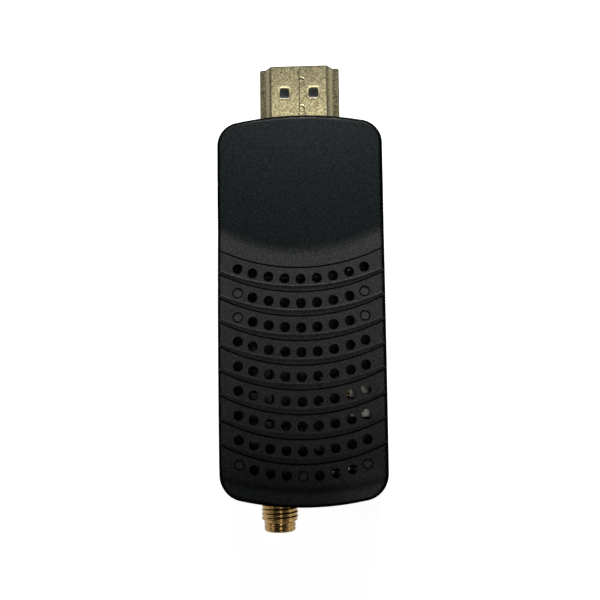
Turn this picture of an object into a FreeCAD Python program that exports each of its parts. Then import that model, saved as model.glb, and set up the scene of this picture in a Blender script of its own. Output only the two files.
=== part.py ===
import FreeCAD, Part
import math
import os

# A stick-shaped TV decoder that plugs straight into a television.
# +Y points out of the plug, +Z is the vented side, and the part lies on its plain back.
# The origin is under the middle of the overall box. All sizes are in millimetres.

# Cutting shapes run past the faces they open by the overrun
overrun = 1.0
tolerance = 1e-3

# Case
body_width = 28.1
body_length = 65.7
body_height = 12.0
parting_height = 6.0
side_wall = 1.3
roof_wall = 1.4
floor_wall = 1.4
nose_corner_radius = 3.9
tail_corner_radius = 4.4
nose_bow_radius = 66.0
tail_bow_radius = 52.0
lid_edge_radius = 0.8
base_edge_radius = 0.8
seam_chamfer = 0.15
lip_thickness = 0.6
lip_height = 0.8
lip_clearance = 0.05
opening_clearance = 0.1

# Crown of the lid: two gentle curves and the soft creases at both ends of the vent field
crown_radius_across = 120.0
crown_radius_along = 300.0
crown_top_back = 43.4
front_crease_ahead = 4.4
front_crease_bow = 1 / 49.2
front_ramp_length = 2.5
front_ramp_slope = 0.03
front_rise_slope = 0.15
front_fall_radius = 432.0
rear_crease_behind = 1.1
rear_crease_bow = 1 / 64.0
rear_trough_length = 1.3
rear_trough_slope = 0.10
rear_rise_slope = 0.14
crease_softness = 0.25

# Vent field
vent_rows = 9
vent_columns = 9
vent_radius = 0.85
vent_row_pitch = 4.06
vent_column_pitch = 2.686
vent_end_pitch = 2.511
first_row_back = 27.98
row_bow_radius = 30.5
blind_vents = ((2, 1), (2, 9), (3, 1), (3, 9), (9, 1), (9, 5), (9, 9))
blind_depth = 0.08
blind_ring_width = 0.12
blind_ring_depth = 0.35
groove_ahead = 1.92
groove_width = 0.24
groove_depth = 0.35
strip_depth = 0.12
strip_width = 0.9
strip_bow_radius = 34.0

# Posts and screws that hold the two shells together
lid_post_radius = 1.9
base_post_radius = 2.2
screw_shank_radius = 0.8
screw_head_radius = 1.5
screw_head_height = 1.0
screw_length = 6.6
screw_clearance = 0.1
screw_well_depth = 2.1
screw_tip_clearance = 0.4
cross_slot_width = 0.4
cross_slot_length = 1.7
cross_slot_depth = 0.5
rest_post_radius = 0.9
blind_boss_margin = 0.4
blind_boss_depth = 1.2

# Hooks that hold the nose of the lid down
hook_width = 2.5
hook_thickness = 0.8
hook_reach = 2.4
hook_barb = 0.35
hook_barb_height = 1.0
hook_offset = 10.0
hook_clearance = 0.15

# Bare label recess in the back
label_width = 18.0
label_length = 34.0
label_depth = 0.2
label_corner = 1.0

# Circuit board
board_thickness = 1.2
board_clearance = 0.4
board_corner = 1.0
board_tail_setback = 3.2
board_nose_setback = 7.6

# Video plug, narrow face up
plug_reach = 9.27
plug_width = 13.9
plug_height = 4.45
plug_sheet = 0.3
plug_face_half = 4.8
plug_wall_foot = 5.85
plug_wing_drop = 1.9
plug_wing_radius = 0.75
plug_face_radius = 0.5
plug_base_radius = 0.5
plug_tail_inside = 7.3
plug_window_width = 1.74
plug_window_length = 1.8
plug_window_radius = 0.42
plug_window_spacing = 5.0
plug_window_back = 4.75
plug_side_window_length = 1.4
plug_side_window_height = 0.8
plug_side_window_back = 4.9
seam_offset = 0.05
seam_slit = 0.04
seam_key_backs = (2.8, 7.65)
seam_key_reach = 0.85
seam_key_length = 1.2
seam_key_taper = 0.22
seam_key_round = 0.38
insulator_recess = 0.35
insulator_gap = 0.05
plug_leg_length = 1.6
plug_leg_width = 1.3
plug_slot_width = 10.0
plug_slot_height = 1.5
plug_slot_depth = 8.0
contact_pitch = 1.0
contact_width = 0.32
contact_thickness = 0.18
contact_recess = 2.2
contact_tail = 1.8
upper_contact_count = 10
lower_contact_count = 9

# Antenna jack with a fine external thread
jack_reach = 4.41
jack_offset = -4.3
jack_crest_radius = 3.1
jack_root_radius = 2.72
jack_pitch = 0.7056
jack_tip_radius = 2.67
jack_tip_length = 1.6
jack_tip_bevel = 0.3
jack_mouth_radius = 2.3
jack_mouth_depth = 1.9
jack_core_radius = 2.05
jack_flange_width = 6.35
jack_flange_thickness = 1.5
jack_leg_length = 3.8
jack_leg_width = 0.9
jack_leg_height = 0.9
jack_contact_radius = 0.635
jack_contact_bore = 0.47
jack_contact_bore_depth = 3.0
jack_contact_slit = 0.12
jack_contact_slit_length = 2.1
jack_root_share = 0.1
jack_crest_share = 0.45
jack_pin_radius = 0.38
jack_pin_tail = 2.2

# Power socket in the right side
power_behind_nose = 47.5
power_width = 7.4
power_height = 2.45
power_depth = 6.1
power_sheet = 0.25
power_chamfer = 0.8
power_flare = 0.3
power_flare_length = 0.6
power_tongue_width = 3.6
power_tongue_thickness = 0.6
power_tongue_length = 3.4
power_tongue_drop = 0.1
power_block_depth = 1.4
power_contact_count = 5
power_contact_pitch = 0.65
power_contact_width = 0.3
power_contact_thickness = 0.12
power_contact_tail = 0.9
power_contact_setback = 0.4
power_round = 0.2

# Full-size host socket in the left side, let into the board
host_behind_nose = 17.5
host_width = 13.1
host_height = 5.7
host_depth = 13.8
host_sheet = 0.3
host_block_depth = 3.4
host_tongue_width = 11.1
host_tongue_thickness = 1.84
host_tongue_length = 8.9
host_tongue_lift = 0.8
host_contact_count = 4
host_contact_pitch = 2.3
host_contact_width = 1.0
host_contact_thickness = 0.2
host_contact_length = 7.0
host_contact_tail = 1.4
host_spring_width = 2.4
host_spring_length = 4.8
host_spring_slit = 0.3
host_spring_back = 4.8
host_tab_length = 1.5
host_tab_ahead_of_rear = 3.0
socket_inset = 0.1

# Remote receiver jack in the tail
ir_offset = 5.3
ir_width = 5.0
ir_height = 3.6
ir_length = 9.6
ir_bore_radius = 1.3
ir_bore_depth = 9.0
ir_collar_radius = 1.7
ir_contact_length = 0.6
ir_contact_width = 1.0
ir_contact_thickness = 0.15
ir_contact_count = 3

# Chips and small parts on the board: width, length and height, in that order
decoder_size = (15.0, 15.0, 1.4)
decoder_behind_nose = 34.4
decoder_ball_pitch = 1.27
decoder_ball_count = 10
decoder_ball_rows = 2
decoder_ball_radius = 0.3
decoder_standoff = 0.35
decoder_carrier_height = 0.5
decoder_cap_inset = 0.7
memory_size = (8.0, 12.5, 1.0)
flash_size = (5.2, 5.2, 1.6)
flash_lead_pitch = 1.27
flash_lead_count = 4
tuner_size = (4.4, 4.4, 0.85)
crystal_size = (3.2, 2.5, 0.8)
inductor_size = (4.0, 4.0, 1.8)
inductor_core_radius = 1.5
inductor_groove_width = 0.35
inductor_groove_depth = 0.2
inductor_core_drop = 0.05
bulk_capacitor_size = (2.8, 3.5, 1.9)
small_capacitor_size = (0.8, 1.6, 0.7)
resistor_size = (0.5, 1.0, 0.35)
regulator_size = (1.6, 2.9, 1.0)
led_size = (0.8, 1.6, 0.6)
chip_chamfer = 0.25
chip_standoff = 0.1
chip_dot_share = 0.05
chip_dot_depth = 0.1
chip_dot_offset_share = 0.4
can_chamfer = 0.15
small_chamfer = 0.1
thin_chamfer = 0.05
lead_width = 0.25
lead_thickness = 0.15
lead_reach = 1.0
lead_foot = 0.5
part_gap = 0.8
inductor_inset = 5.25
inductor_ahead_of_tail = 9.0
tuner_beside_jack = 3.0
end_cap_share = 0.22
front_capacitor_count = 4
front_capacitor_right = 8.6
tail_capacitor_columns = (7, 8)
tail_capacitor_drop = 0.45
row_resistor_columns = (4, 5, 6, 7)
row_resistor_drop = 0.75
regulator_shift = 1.0
led_ahead = 2.0
resistor_pitch = 1.3
flash_resistor_count = 4
plug_resistor_count = 6
regulator_lead_pitch = 1.9
regulator_lead_count = 2

overall_length = plug_reach + body_length + jack_reach
nose_y = overall_length / 2 - plug_reach
tail_y = nose_y - body_length
half_width = body_width / 2
board_bottom = parting_height - board_thickness / 2
board_top = parting_height + board_thickness / 2
board_half = half_width - side_wall - board_clearance
board_nose_y = nose_y - board_nose_setback
board_tail_y = tail_y + board_tail_setback
front_crease_y = nose_y - first_row_back + front_crease_ahead
last_row_y = nose_y - first_row_back - (vent_rows - 1) * vent_row_pitch
rear_crease_y = last_row_y - rear_crease_behind
crown_top_y = nose_y - crown_top_back
plug_front_y = nose_y + plug_reach
plug_rear_y = nose_y - plug_tail_inside
jack_tip_y = tail_y - jack_reach
host_y = nose_y - host_behind_nose
power_y = nose_y - power_behind_nose
decoder_y = nose_y - decoder_behind_nose
chip_seat = board_top + chip_standoff


def point(x, y, z=0.0):
    return FreeCAD.Vector(x, y, z)


def box(x0, x1, y0, y1, z0, z1):
    return Part.makeBox(x1 - x0, y1 - y0, z1 - z0, point(x0, y0, z0))


def block(x, y, z0, size):
    return box(x - size[0] / 2, x + size[0] / 2, y - size[1] / 2, y + size[1] / 2, z0, z0 + size[2])


def rod(radius, start, end):
    line = end - start
    return Part.makeCylinder(radius, line.Length, start, line)


def prism(wire, z0, z1):
    face = Part.Face(wire)
    face.translate(point(0, 0, z0))
    return face.extrude(point(0, 0, z1 - z0))


def group(shapes):
    return Part.makeCompound(shapes)


def joined(shapes):
    whole = shapes[0].fuse(shapes[1:]) if len(shapes) > 1 else shapes[0]
    return whole.removeSplitter()


def arc(centre, radius, start, end):
    angles = (start, (start + end) / 2, end)
    spots = [point(centre[0] + radius * math.cos(a), centre[1] + radius * math.sin(a)) for a in angles]
    return Part.Arc(*spots).toShape()


def rounded_polygon(corners, radii):
    # Closed outline through the corners, each cut back to an arc of its own radius
    edges = []
    arcs = []
    count = len(corners)
    for i in range(count):
        here = FreeCAD.Vector(*corners[i])
        back = (FreeCAD.Vector(*corners[i - 1]) - here).normalize()
        ahead = (FreeCAD.Vector(*corners[(i + 1) % count]) - here).normalize()
        if radii[i] <= 0:
            arcs.append((here, None, here))
            continue
        half = back.getAngle(ahead) / 2
        cut = radii[i] / math.tan(half)
        middle = (back + ahead).normalize() * (radii[i] / math.sin(half) - radii[i])
        arcs.append((here + back * cut, here + middle, here + ahead * cut))
    for i in range(count):
        start, middle, end = arcs[i]
        if middle is not None:
            edges.append(Part.Arc(start, middle, end).toShape())
        edges.append(Part.LineSegment(end, arcs[(i + 1) % count][0]).toShape())
    return Part.Wire(edges)


def rounded_rectangle(x, y, width, length, radius):
    w, h = width / 2, length / 2
    corners = [(x - w, y - h, 0), (x + w, y - h, 0), (x + w, y + h, 0), (x - w, y + h, 0)]
    return rounded_polygon(corners, [radius] * 4)


def chamfered_block(x, y, z0, size, chamfer):
    body = block(x, y, z0, size)
    top = [e for e in body.Edges if e.BoundBox.ZMin > z0 + size[2] - tolerance]
    return body.makeChamfer(chamfer, top)


# The case outline: straight sides, bowed ends and round corners, drawn in by an inset
def end_corner(bow_y, bow_radius, corner_radius, sign):
    centre_y = bow_y - sign * bow_radius
    corner_x = half_width - corner_radius
    rise = math.sqrt((bow_radius - corner_radius) ** 2 - corner_x ** 2)
    return centre_y, corner_x, centre_y + sign * rise


def outline(inset):
    nose_centre, nose_x, nose_corner = end_corner(nose_y, nose_bow_radius, nose_corner_radius, 1)
    tail_centre, tail_x, tail_corner = end_corner(tail_y, tail_bow_radius, tail_corner_radius, -1)
    nose_angle = math.atan2(nose_corner - nose_centre, nose_x)
    tail_angle = math.atan2(tail_corner - tail_centre, tail_x)
    side = half_width - inset
    nose_bend = nose_corner_radius - inset
    tail_bend = tail_corner_radius - inset
    right, left = point(side, tail_corner), point(-side, nose_corner)
    edges = [
        Part.LineSegment(right, point(side, nose_corner)).toShape(),
        arc((nose_x, nose_corner), nose_bend, 0, nose_angle),
        arc((0, nose_centre), nose_bow_radius - inset, nose_angle, math.pi - nose_angle),
        arc((-nose_x, nose_corner), nose_bend, math.pi - nose_angle, math.pi),
        Part.LineSegment(left, point(-side, tail_corner)).toShape(),
        arc((-tail_x, tail_corner), tail_bend, math.pi, math.pi - tail_angle),
        arc((0, tail_centre), tail_bow_radius - inset, -math.pi - tail_angle, tail_angle),
        arc((tail_x, tail_corner), tail_bend, tail_angle, 0),
    ]
    return Part.Wire(edges)


def nose_wall_y(x):
    # Inner face of the bowed nose wall
    radius = nose_bow_radius - side_wall
    return nose_y - nose_bow_radius + math.sqrt(radius ** 2 - x ** 2)


def tail_wall_y(x):
    # Inner face of the bowed tail wall
    radius = tail_bow_radius - side_wall
    return tail_y + tail_bow_radius - math.sqrt(radius ** 2 - x ** 2)


# The crowned skin of the lid
def soft_ramp(distance):
    ratio = distance / crease_softness
    return distance if ratio > 30 else crease_softness * math.log1p(math.exp(ratio))


def lid_height(x, y):
    ahead = y - (front_crease_y + front_crease_bow * x * x)
    behind = (rear_crease_y + rear_crease_bow * x * x) - y
    z = body_height - x * x / (2 * crown_radius_across)
    z -= (y - crown_top_y) ** 2 / (2 * crown_radius_along)
    z -= front_ramp_slope * soft_ramp(ahead + front_ramp_length)
    z += front_rise_slope * soft_ramp(ahead)
    z -= max(ahead, 0) ** 2 / (2 * front_fall_radius)
    z -= rear_trough_slope * soft_ramp(behind)
    z += rear_rise_slope * soft_ramp(behind - rear_trough_length)
    return z


def lid_skin():
    # Rows of points follow the two creases and lie closer together beside them
    near = (-0.6, -0.3, 0.0, 0.3, 0.6)
    far = (0.9, 1.4, 2.2)
    overhang = 2.2
    first = tail_y - overhang
    last = nose_y + overhang
    trough_y = rear_crease_y - rear_trough_length
    ramp_y = front_crease_y - front_ramp_length
    rear_points = [trough_y - d for d in far[::-1]] + [trough_y + d for d in near[:-1]]
    rear_points += [rear_crease_y + d for d in near[1:] + far]
    front_points = [ramp_y + d for d in near] + [front_crease_y - far[1], front_crease_y - far[0]]
    front_points += [front_crease_y + d for d in near + far]
    rows = [(first, rear_crease_bow / 3), ((first + rear_points[0]) / 2, rear_crease_bow * 2 / 3)]
    rows += [(y, rear_crease_bow) for y in rear_points]
    field_steps = 9
    for i in range(1, field_steps):
        share = i / field_steps
        y = rear_points[-1] + (front_points[0] - rear_points[-1]) * share
        rows.append((y, rear_crease_bow + (front_crease_bow - rear_crease_bow) * share))
    rows += [(y, front_crease_bow) for y in front_points]
    for i in range(1, field_steps + 1):
        share = i / field_steps
        y = front_points[-1] + (last - front_points[-1]) * share
        rows.append((y, front_crease_bow * (1 - share)))
    column_steps = 12
    reach = half_width + overhang / 2
    columns = [reach * (2 * i / column_steps - 1) for i in range(column_steps + 1)]
    grid = []
    for base_y, bow in rows:
        grid.append([point(x, base_y + bow * x * x, lid_height(x, base_y + bow * x * x)) for x in columns])
    surface = Part.BSplineSurface()
    surface.interpolate(grid)
    return surface.toShape()


def above_skin(skin, drop):
    # Everything over the skin once it is sunk by the drop
    sunk = skin.copy()
    sunk.translate(point(0, 0, -drop))
    return sunk.extrude(point(0, 0, body_height))


# Vent pattern
def vent_x(column):
    from_middle = column - (vent_columns + 1) / 2
    distance = abs(from_middle) * vent_column_pitch
    if column in (1, vent_columns):
        distance += vent_end_pitch - vent_column_pitch
    return math.copysign(distance, from_middle) if from_middle else 0.0


def row_y(row):
    return nose_y - first_row_back - (row - 1) * vent_row_pitch


def vent_centre(row, column):
    x = vent_x(column)
    return x, row_y(row) + row_bow_radius - math.sqrt(row_bow_radius ** 2 - x * x)


def bowed_line(centre_y, bow_radius):
    # A line across the lid whose ends curve towards the plug
    reach = half_width + overrun
    sag = bow_radius - math.sqrt(bow_radius ** 2 - reach ** 2)
    return point(-reach, centre_y + sag), point(0, centre_y), point(reach, centre_y + sag)


def band_between(lower, upper):
    edges = [
        Part.Arc(*lower).toShape(),
        Part.LineSegment(lower[2], upper[2]).toShape(),
        Part.Arc(*upper[::-1]).toShape(),
        Part.LineSegment(upper[0], lower[0]).toShape(),
    ]
    return prism(Part.Wire(edges), parting_height, body_height + overrun)


def groove_bands():
    bands = []
    for row in range(1, vent_rows + 1):
        middle = row_y(row) + groove_ahead
        lower = bowed_line(middle - groove_width / 2, row_bow_radius)
        upper = bowed_line(middle + groove_width / 2, row_bow_radius)
        bands.append(band_between(lower, upper))
    return bands


def strip_bands():
    bands = []
    for row in range(2, vent_rows + 1):
        middle = row_y(row) + groove_ahead
        lower = bowed_line(middle, row_bow_radius)
        upper = bowed_line(middle + strip_width, strip_bow_radius)
        bands.append(band_between(lower, upper))
    return bands


def screw_spots():
    # The middle pair stands between two blind vents, the rear pair under one each
    pairs = []
    for column in (1, vent_columns):
        front = vent_centre(2, column)
        back = vent_centre(3, column)
        pairs.append((front[0], (front[1] + back[1]) / 2))
        pairs.append(vent_centre(vent_rows, column))
    return pairs


def rest_spot():
    return vent_centre(vent_rows, (vent_columns + 1) / 2)


# Section of the plug's folded sheet, across X and Z
def plug_section(inset, y):
    top = parting_height + plug_height / 2 - inset
    bottom = parting_height - plug_height / 2 + inset
    shoulder = parting_height + plug_height / 2 - plug_wing_drop - inset
    side = plug_width / 2 - inset
    lean = (plug_wall_foot - plug_face_half) / plug_wing_drop
    slant_inset = inset * math.sqrt(1 + lean * lean)
    face = plug_face_half - slant_inset + lean * inset
    foot = plug_wall_foot - slant_inset + lean * inset
    wing_radius = plug_wing_radius - inset
    face_radius = plug_face_radius - inset
    base_radius = plug_base_radius - inset
    corners = [
        (-side, y, bottom), (side, y, bottom), (side, y, shoulder), (foot, y, shoulder),
        (face, y, top), (-face, y, top), (-foot, y, shoulder), (-side, y, shoulder),
    ]
    radii = [base_radius, base_radius, wing_radius, 0.0, face_radius, face_radius, 0.0, wing_radius]
    return Part.Face(rounded_polygon(corners, radii))


def plug_solid(inset, y0, y1):
    return plug_section(inset, y0).extrude(point(0, y1 - y0, 0))


# Openings through the shells, shared by the lid and the base
def wall_openings():
    gap = opening_clearance
    plug = plug_solid(-gap, plug_rear_y - overrun, plug_front_y)
    jack = rod(jack_crest_radius + gap, point(jack_offset, tail_y - overrun, parting_height),
               point(jack_offset, jack_flange_front(), parting_height))
    host_half = host_height / 2 + gap
    host = box(-half_width - overrun, -half_width + side_wall + overrun, host_y - host_width / 2 - gap,
               host_y + host_width / 2 + gap, parting_height - host_half, parting_height + host_half)
    flare_half = power_width / 2 + power_flare + gap
    power_top = board_top + power_height + power_flare + gap
    power = box(half_width - side_wall - overrun, half_width + overrun, power_y - flare_half,
                power_y + flare_half, parting_height - tolerance, power_top)
    receiver = rod(ir_collar_radius + gap, point(ir_offset, tail_y - overrun, ir_axis_height()),
                   point(ir_offset, ir_wall_inside(), ir_axis_height()))
    return [plug, jack, host, power, receiver]


def ir_axis_height():
    return board_bottom - ir_height / 2


def upright(edge):
    ends = [vertex.Point for vertex in edge.Vertexes]
    return (ends[0] - ends[-1]).cross(point(0, 0, 1)).Length < tolerance


def lid_block(skin):
    # The crowned block with its round rim, its bands and grooves, still solid inside
    block_shape = prism(outline(0), parting_height, body_height + overrun).cut(above_skin(skin, 0))
    rim = [e for e in block_shape.Edges if e.BoundBox.ZMin > parting_height + tolerance and not upright(e)]
    block_shape = block_shape.makeFillet(lid_edge_radius, rim)
    foot = [e for e in block_shape.Edges if e.BoundBox.ZMax < parting_height + tolerance]
    block_shape = block_shape.makeChamfer(seam_chamfer, foot)
    block_shape = block_shape.cut(group(strip_bands()).common(above_skin(skin, strip_depth)))
    return block_shape.cut(group(groove_bands()).common(above_skin(skin, groove_depth)))


def vent_drills(blind, z0, z1, radius=vent_radius):
    drills = []
    for row in range(1, vent_rows + 1):
        for column in range(1, vent_columns + 1):
            if ((row, column) in blind_vents) == blind:
                x, y = vent_centre(row, column)
                drills.append(rod(radius, point(x, y, z0), point(x, y, z1)))
    return group(drills)


def lid_posts():
    posts = []
    for x, y in screw_spots():
        posts.append(rod(lid_post_radius, point(x, y, parting_height), point(x, y, body_height)))
    for x, y in board_rests():
        posts.append(rod(rest_post_radius, point(x, y, board_top), point(x, y, body_height)))
    return posts + [lid_hook(side) for side in (-1, 1)]


def blind_bosses(skin):
    # Short bosses that close the vents over the posts from inside
    radius = vent_radius + blind_boss_margin
    bosses = []
    for row, column in blind_vents:
        x, y = vent_centre(row, column)
        bosses.append(rod(radius, point(x, y, parting_height), point(x, y, body_height)))
    return group(bosses).common(above_skin(skin, roof_wall + blind_boss_depth)).Solids


def make_lid():
    skin = lid_skin()
    shell = lid_block(skin)
    hollow = prism(outline(side_wall), parting_height - overrun, body_height + overrun)
    shell = shell.cut(hollow.cut(above_skin(skin, roof_wall)))
    reach = prism(outline(side_wall / 2), 0, body_height + overrun).cut(above_skin(skin, roof_wall / 2))
    shell = shell.fuse([piece.common(reach) for piece in lid_posts() + blind_bosses(skin)])
    rebate_top = parting_height + lip_height + lip_clearance
    rebate = prism(outline(side_wall - lip_thickness - lip_clearance), parting_height - overrun, rebate_top)
    rebate = rebate.cut(prism(outline(side_wall + lip_clearance), 0, rebate_top + overrun))
    wells = []
    for x, y in screw_spots():
        well_top = screw_well_depth + screw_length + screw_tip_clearance
        wells.append(rod(screw_shank_radius, point(x, y, parting_height - overrun), point(x, y, well_top)))
    shell = shell.cut([rebate] + wall_openings() + wells)
    low, high = parting_height, body_height + overrun
    dimples = vent_drills(True, low, high)
    cores = vent_drills(True, low - overrun, high + overrun, vent_radius - blind_ring_width)
    rings = dimples.cut(cores).common(above_skin(skin, blind_ring_depth))
    shell = shell.cut([dimples.common(above_skin(skin, blind_depth)), rings])
    drill_foot = body_height - 2 * roof_wall - vent_radius
    return shell.cut(vent_drills(False, drill_foot, body_height + overrun))


def hook_face_y():
    # Inner face of the nose wall at the outer side of the hook
    return nose_wall_y(hook_offset + hook_width / 2) - hook_clearance


def lid_hook(side):
    x0 = side * hook_offset - hook_width / 2
    x1 = side * hook_offset + hook_width / 2
    face = hook_face_y()
    low = parting_height - hook_reach
    shoulder = parting_height + lip_height + lip_clearance
    root = box(x0, x1, face - hook_thickness, face + side_wall, shoulder, body_height)
    tab = box(x0, x1, face - hook_thickness, face, low, shoulder)
    tip = face + hook_clearance + hook_barb
    root_y = face - hook_thickness / 2
    corners = [point(x0, root_y, low), point(x0, tip, low + hook_barb_height / 2),
               point(x0, tip, low + hook_barb_height), point(x0, root_y, low + hook_barb_height)]
    barb = Part.Face(Part.makePolygon(corners + corners[:1])).extrude(point(hook_width, 0, 0))
    return joined([root, tab, barb])


def hook_pocket(side):
    x0 = side * hook_offset - hook_width / 2 - hook_clearance
    x1 = side * hook_offset + hook_width / 2 + hook_clearance
    face = hook_face_y()
    low = parting_height - hook_reach - hook_clearance
    tip = face + 2 * hook_clearance + hook_barb
    inside = face - hook_thickness - overrun
    pocket = box(x0, x1, inside, tip, low, low + hook_barb_height + 2 * hook_clearance)
    slot = box(x0, x1, inside, face + side_wall, parting_height, parting_height + lip_height + overrun)
    return [pocket, slot]


def make_base():
    shell = prism(outline(0), 0, parting_height)
    rim = [e for e in shell.Edges if e.BoundBox.ZMax < tolerance]
    shell = shell.makeFillet(base_edge_radius, rim)
    crest = [e for e in shell.Edges if e.BoundBox.ZMin > parting_height - tolerance]
    shell = shell.makeChamfer(seam_chamfer, crest)
    lip = prism(outline(side_wall - lip_thickness), parting_height, parting_height + lip_height)
    shell = shell.fuse(lip).cut(prism(outline(side_wall), floor_wall, body_height))
    posts = []
    wells = []
    for x, y in screw_spots():
        posts.append(rod(base_post_radius, point(x, y, floor_wall / 2), point(x, y, parting_height)))
        clear_radius = screw_shank_radius + screw_clearance
        wells.append(rod(clear_radius, point(x, y, -overrun), point(x, y, body_height)))
        head_radius = screw_head_radius + screw_clearance
        wells.append(rod(head_radius, point(x, y, -overrun), point(x, y, screw_well_depth)))
    for x, y in board_rests():
        posts.append(rod(rest_post_radius, point(x, y, floor_wall / 2), point(x, y, board_bottom)))
    inner = prism(outline(side_wall / 2), 0, body_height)
    shell = shell.fuse([p.common(inner) for p in posts]).cut(wells)
    label = rounded_rectangle(0, label_y(), label_width, label_length, label_corner)
    shell = shell.cut(prism(label, -overrun, label_depth))
    shell = shell.cut(hook_pocket(-1) + hook_pocket(1))
    return shell.cut(wall_openings()).removeSplitter()


def label_y():
    return (nose_y + tail_y) / 2


def board_rests():
    # Plain posts of both shells that hold the board: at the tail, beside the host socket and at the nose
    side = board_half - 2 * rest_post_radius
    front = board_nose_y - 2 * rest_post_radius
    return [rest_spot(), (side, host_y), (side, front), (-side, board_nose_y - rest_post_radius)]


def make_screws():
    screws = []
    seat = screw_well_depth
    for x, y in screw_spots():
        head = Part.makeCylinder(screw_head_radius, screw_head_height, point(x, y, seat - screw_head_height))
        rim = [e for e in head.Edges if e.BoundBox.ZMax < seat - screw_head_height + tolerance]
        head = head.makeFillet(screw_head_height / 3, rim)
        shank_end = seat + screw_length
        shank = rod(screw_shank_radius, point(x, y, seat), point(x, y, shank_end - screw_shank_radius))
        tip = Part.makeCone(screw_shank_radius, screw_shank_radius / 4, screw_shank_radius,
                            point(x, y, shank_end - screw_shank_radius))
        screw = joined([head, shank, tip])
        low = seat - screw_head_height
        depth = overrun + cross_slot_depth
        cross = [block(x, y, low - overrun, (cross_slot_width, cross_slot_length, depth)),
                 block(x, y, low - overrun, (cross_slot_length, cross_slot_width, depth))]
        screws.append(screw.cut(cross))
    return group(screws)


# Video plug
def make_plug_shell():
    hollow = plug_solid(plug_sheet, plug_rear_y - overrun, plug_front_y + overrun)
    tube = plug_solid(0, plug_rear_y, plug_front_y).cut(hollow)
    cuts = []
    window_y = plug_front_y - plug_window_back
    for side in (-1, 1):
        x = side * plug_window_spacing / 2
        for z0, z1 in ((parting_height, body_height), (0, parting_height)):
            wire = rounded_rectangle(x, window_y, plug_window_width, plug_window_length,
                                     plug_window_radius)
            cuts.append(prism(wire, z0, z1))
        side_y = plug_front_y - plug_side_window_back
        middle = parting_height - plug_height / 4
        x0, x1 = sorted((side * plug_face_half, side * plug_width))
        cuts.append(box(x0, x1, side_y - plug_side_window_length / 2, side_y + plug_side_window_length / 2,
                        middle - plug_side_window_height / 2, middle + plug_side_window_height / 2))
    legs = [shape for side in (-1, 1) for shape in plug_leg(side)]
    return joined([tube.cut(cuts + [plug_seam()])] + legs)


def plug_leg(side):
    # Leg that runs back from the side of the sheet and turns in under the board
    outer = side * plug_width / 2
    z0, z1 = board_bottom - plug_sheet, board_bottom
    rear = plug_rear_y - plug_leg_length
    x0, x1 = sorted((outer, outer - side * plug_sheet))
    arm = box(x0, x1, rear, plug_rear_y, z0 - plug_sheet, z1)
    x0, x1 = sorted((outer, outer - side * plug_leg_width))
    foot = box(x0, x1, rear, board_nose_y, z0, z1)
    return [arm, foot]


def seam_tongue(centre_y, grow, root_x):
    # Outline of one rounded tongue of the left edge, grown or shrunk evenly
    lean = seam_key_taper / seam_key_reach
    head_x = seam_offset + seam_key_reach + grow
    neck = seam_key_length / 2 - seam_key_taper + grow * math.sqrt(1 + lean * lean)
    corners = []
    for x, sign in ((root_x, 1), (head_x, 1), (head_x, -1), (root_x, -1)):
        corners.append((x, centre_y + sign * (neck + lean * (x - seam_offset)), 0))
    bend = seam_key_round + grow
    return rounded_polygon(corners, [0, bend, bend, 0])


def plug_seam():
    # Even slit where the sheet's two edges meet and round the tongues that lock them
    half = seam_slit / 2
    z0, z1 = parting_height + overrun, body_height
    slit = box(seam_offset - half, seam_offset + half, plug_rear_y - overrun, plug_front_y + overrun, z0, z1)
    rows = [plug_front_y - back for back in seam_key_backs]
    sockets = [prism(seam_tongue(y, half, seam_offset - half), z0, z1) for y in rows]
    tongues = [prism(seam_tongue(y, -half, seam_offset - seam_slit), z0, z1) for y in rows]
    return slit.fuse(sockets).cut(tongues)


def plug_contact(x, upper):
    front = plug_front_y - contact_recess
    rear = plug_rear_y - contact_tail
    z = board_top if upper else board_bottom - contact_thickness
    return box(x - contact_width / 2, x + contact_width / 2, rear, front, z, z + contact_thickness)


def contact_xs(count, pitch):
    return [(i - (count - 1) / 2) * pitch for i in range(count)]


def make_plug_contacts(count, upper):
    return group([plug_contact(x, upper) for x in contact_xs(count, contact_pitch)])


def make_plug_insulator():
    outside = plug_sheet + insulator_gap
    body = plug_solid(outside, plug_rear_y, plug_front_y - insulator_recess)
    half_slot = plug_slot_height / 2
    slot = box(-plug_slot_width / 2, plug_slot_width / 2, plug_front_y - plug_slot_depth, plug_front_y,
               parting_height - half_slot, parting_height + half_slot)
    body = body.cut(slot)
    upper = make_plug_contacts(upper_contact_count, True)
    lower = make_plug_contacts(lower_contact_count, False)
    return body.cut(group([upper, lower]))


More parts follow.
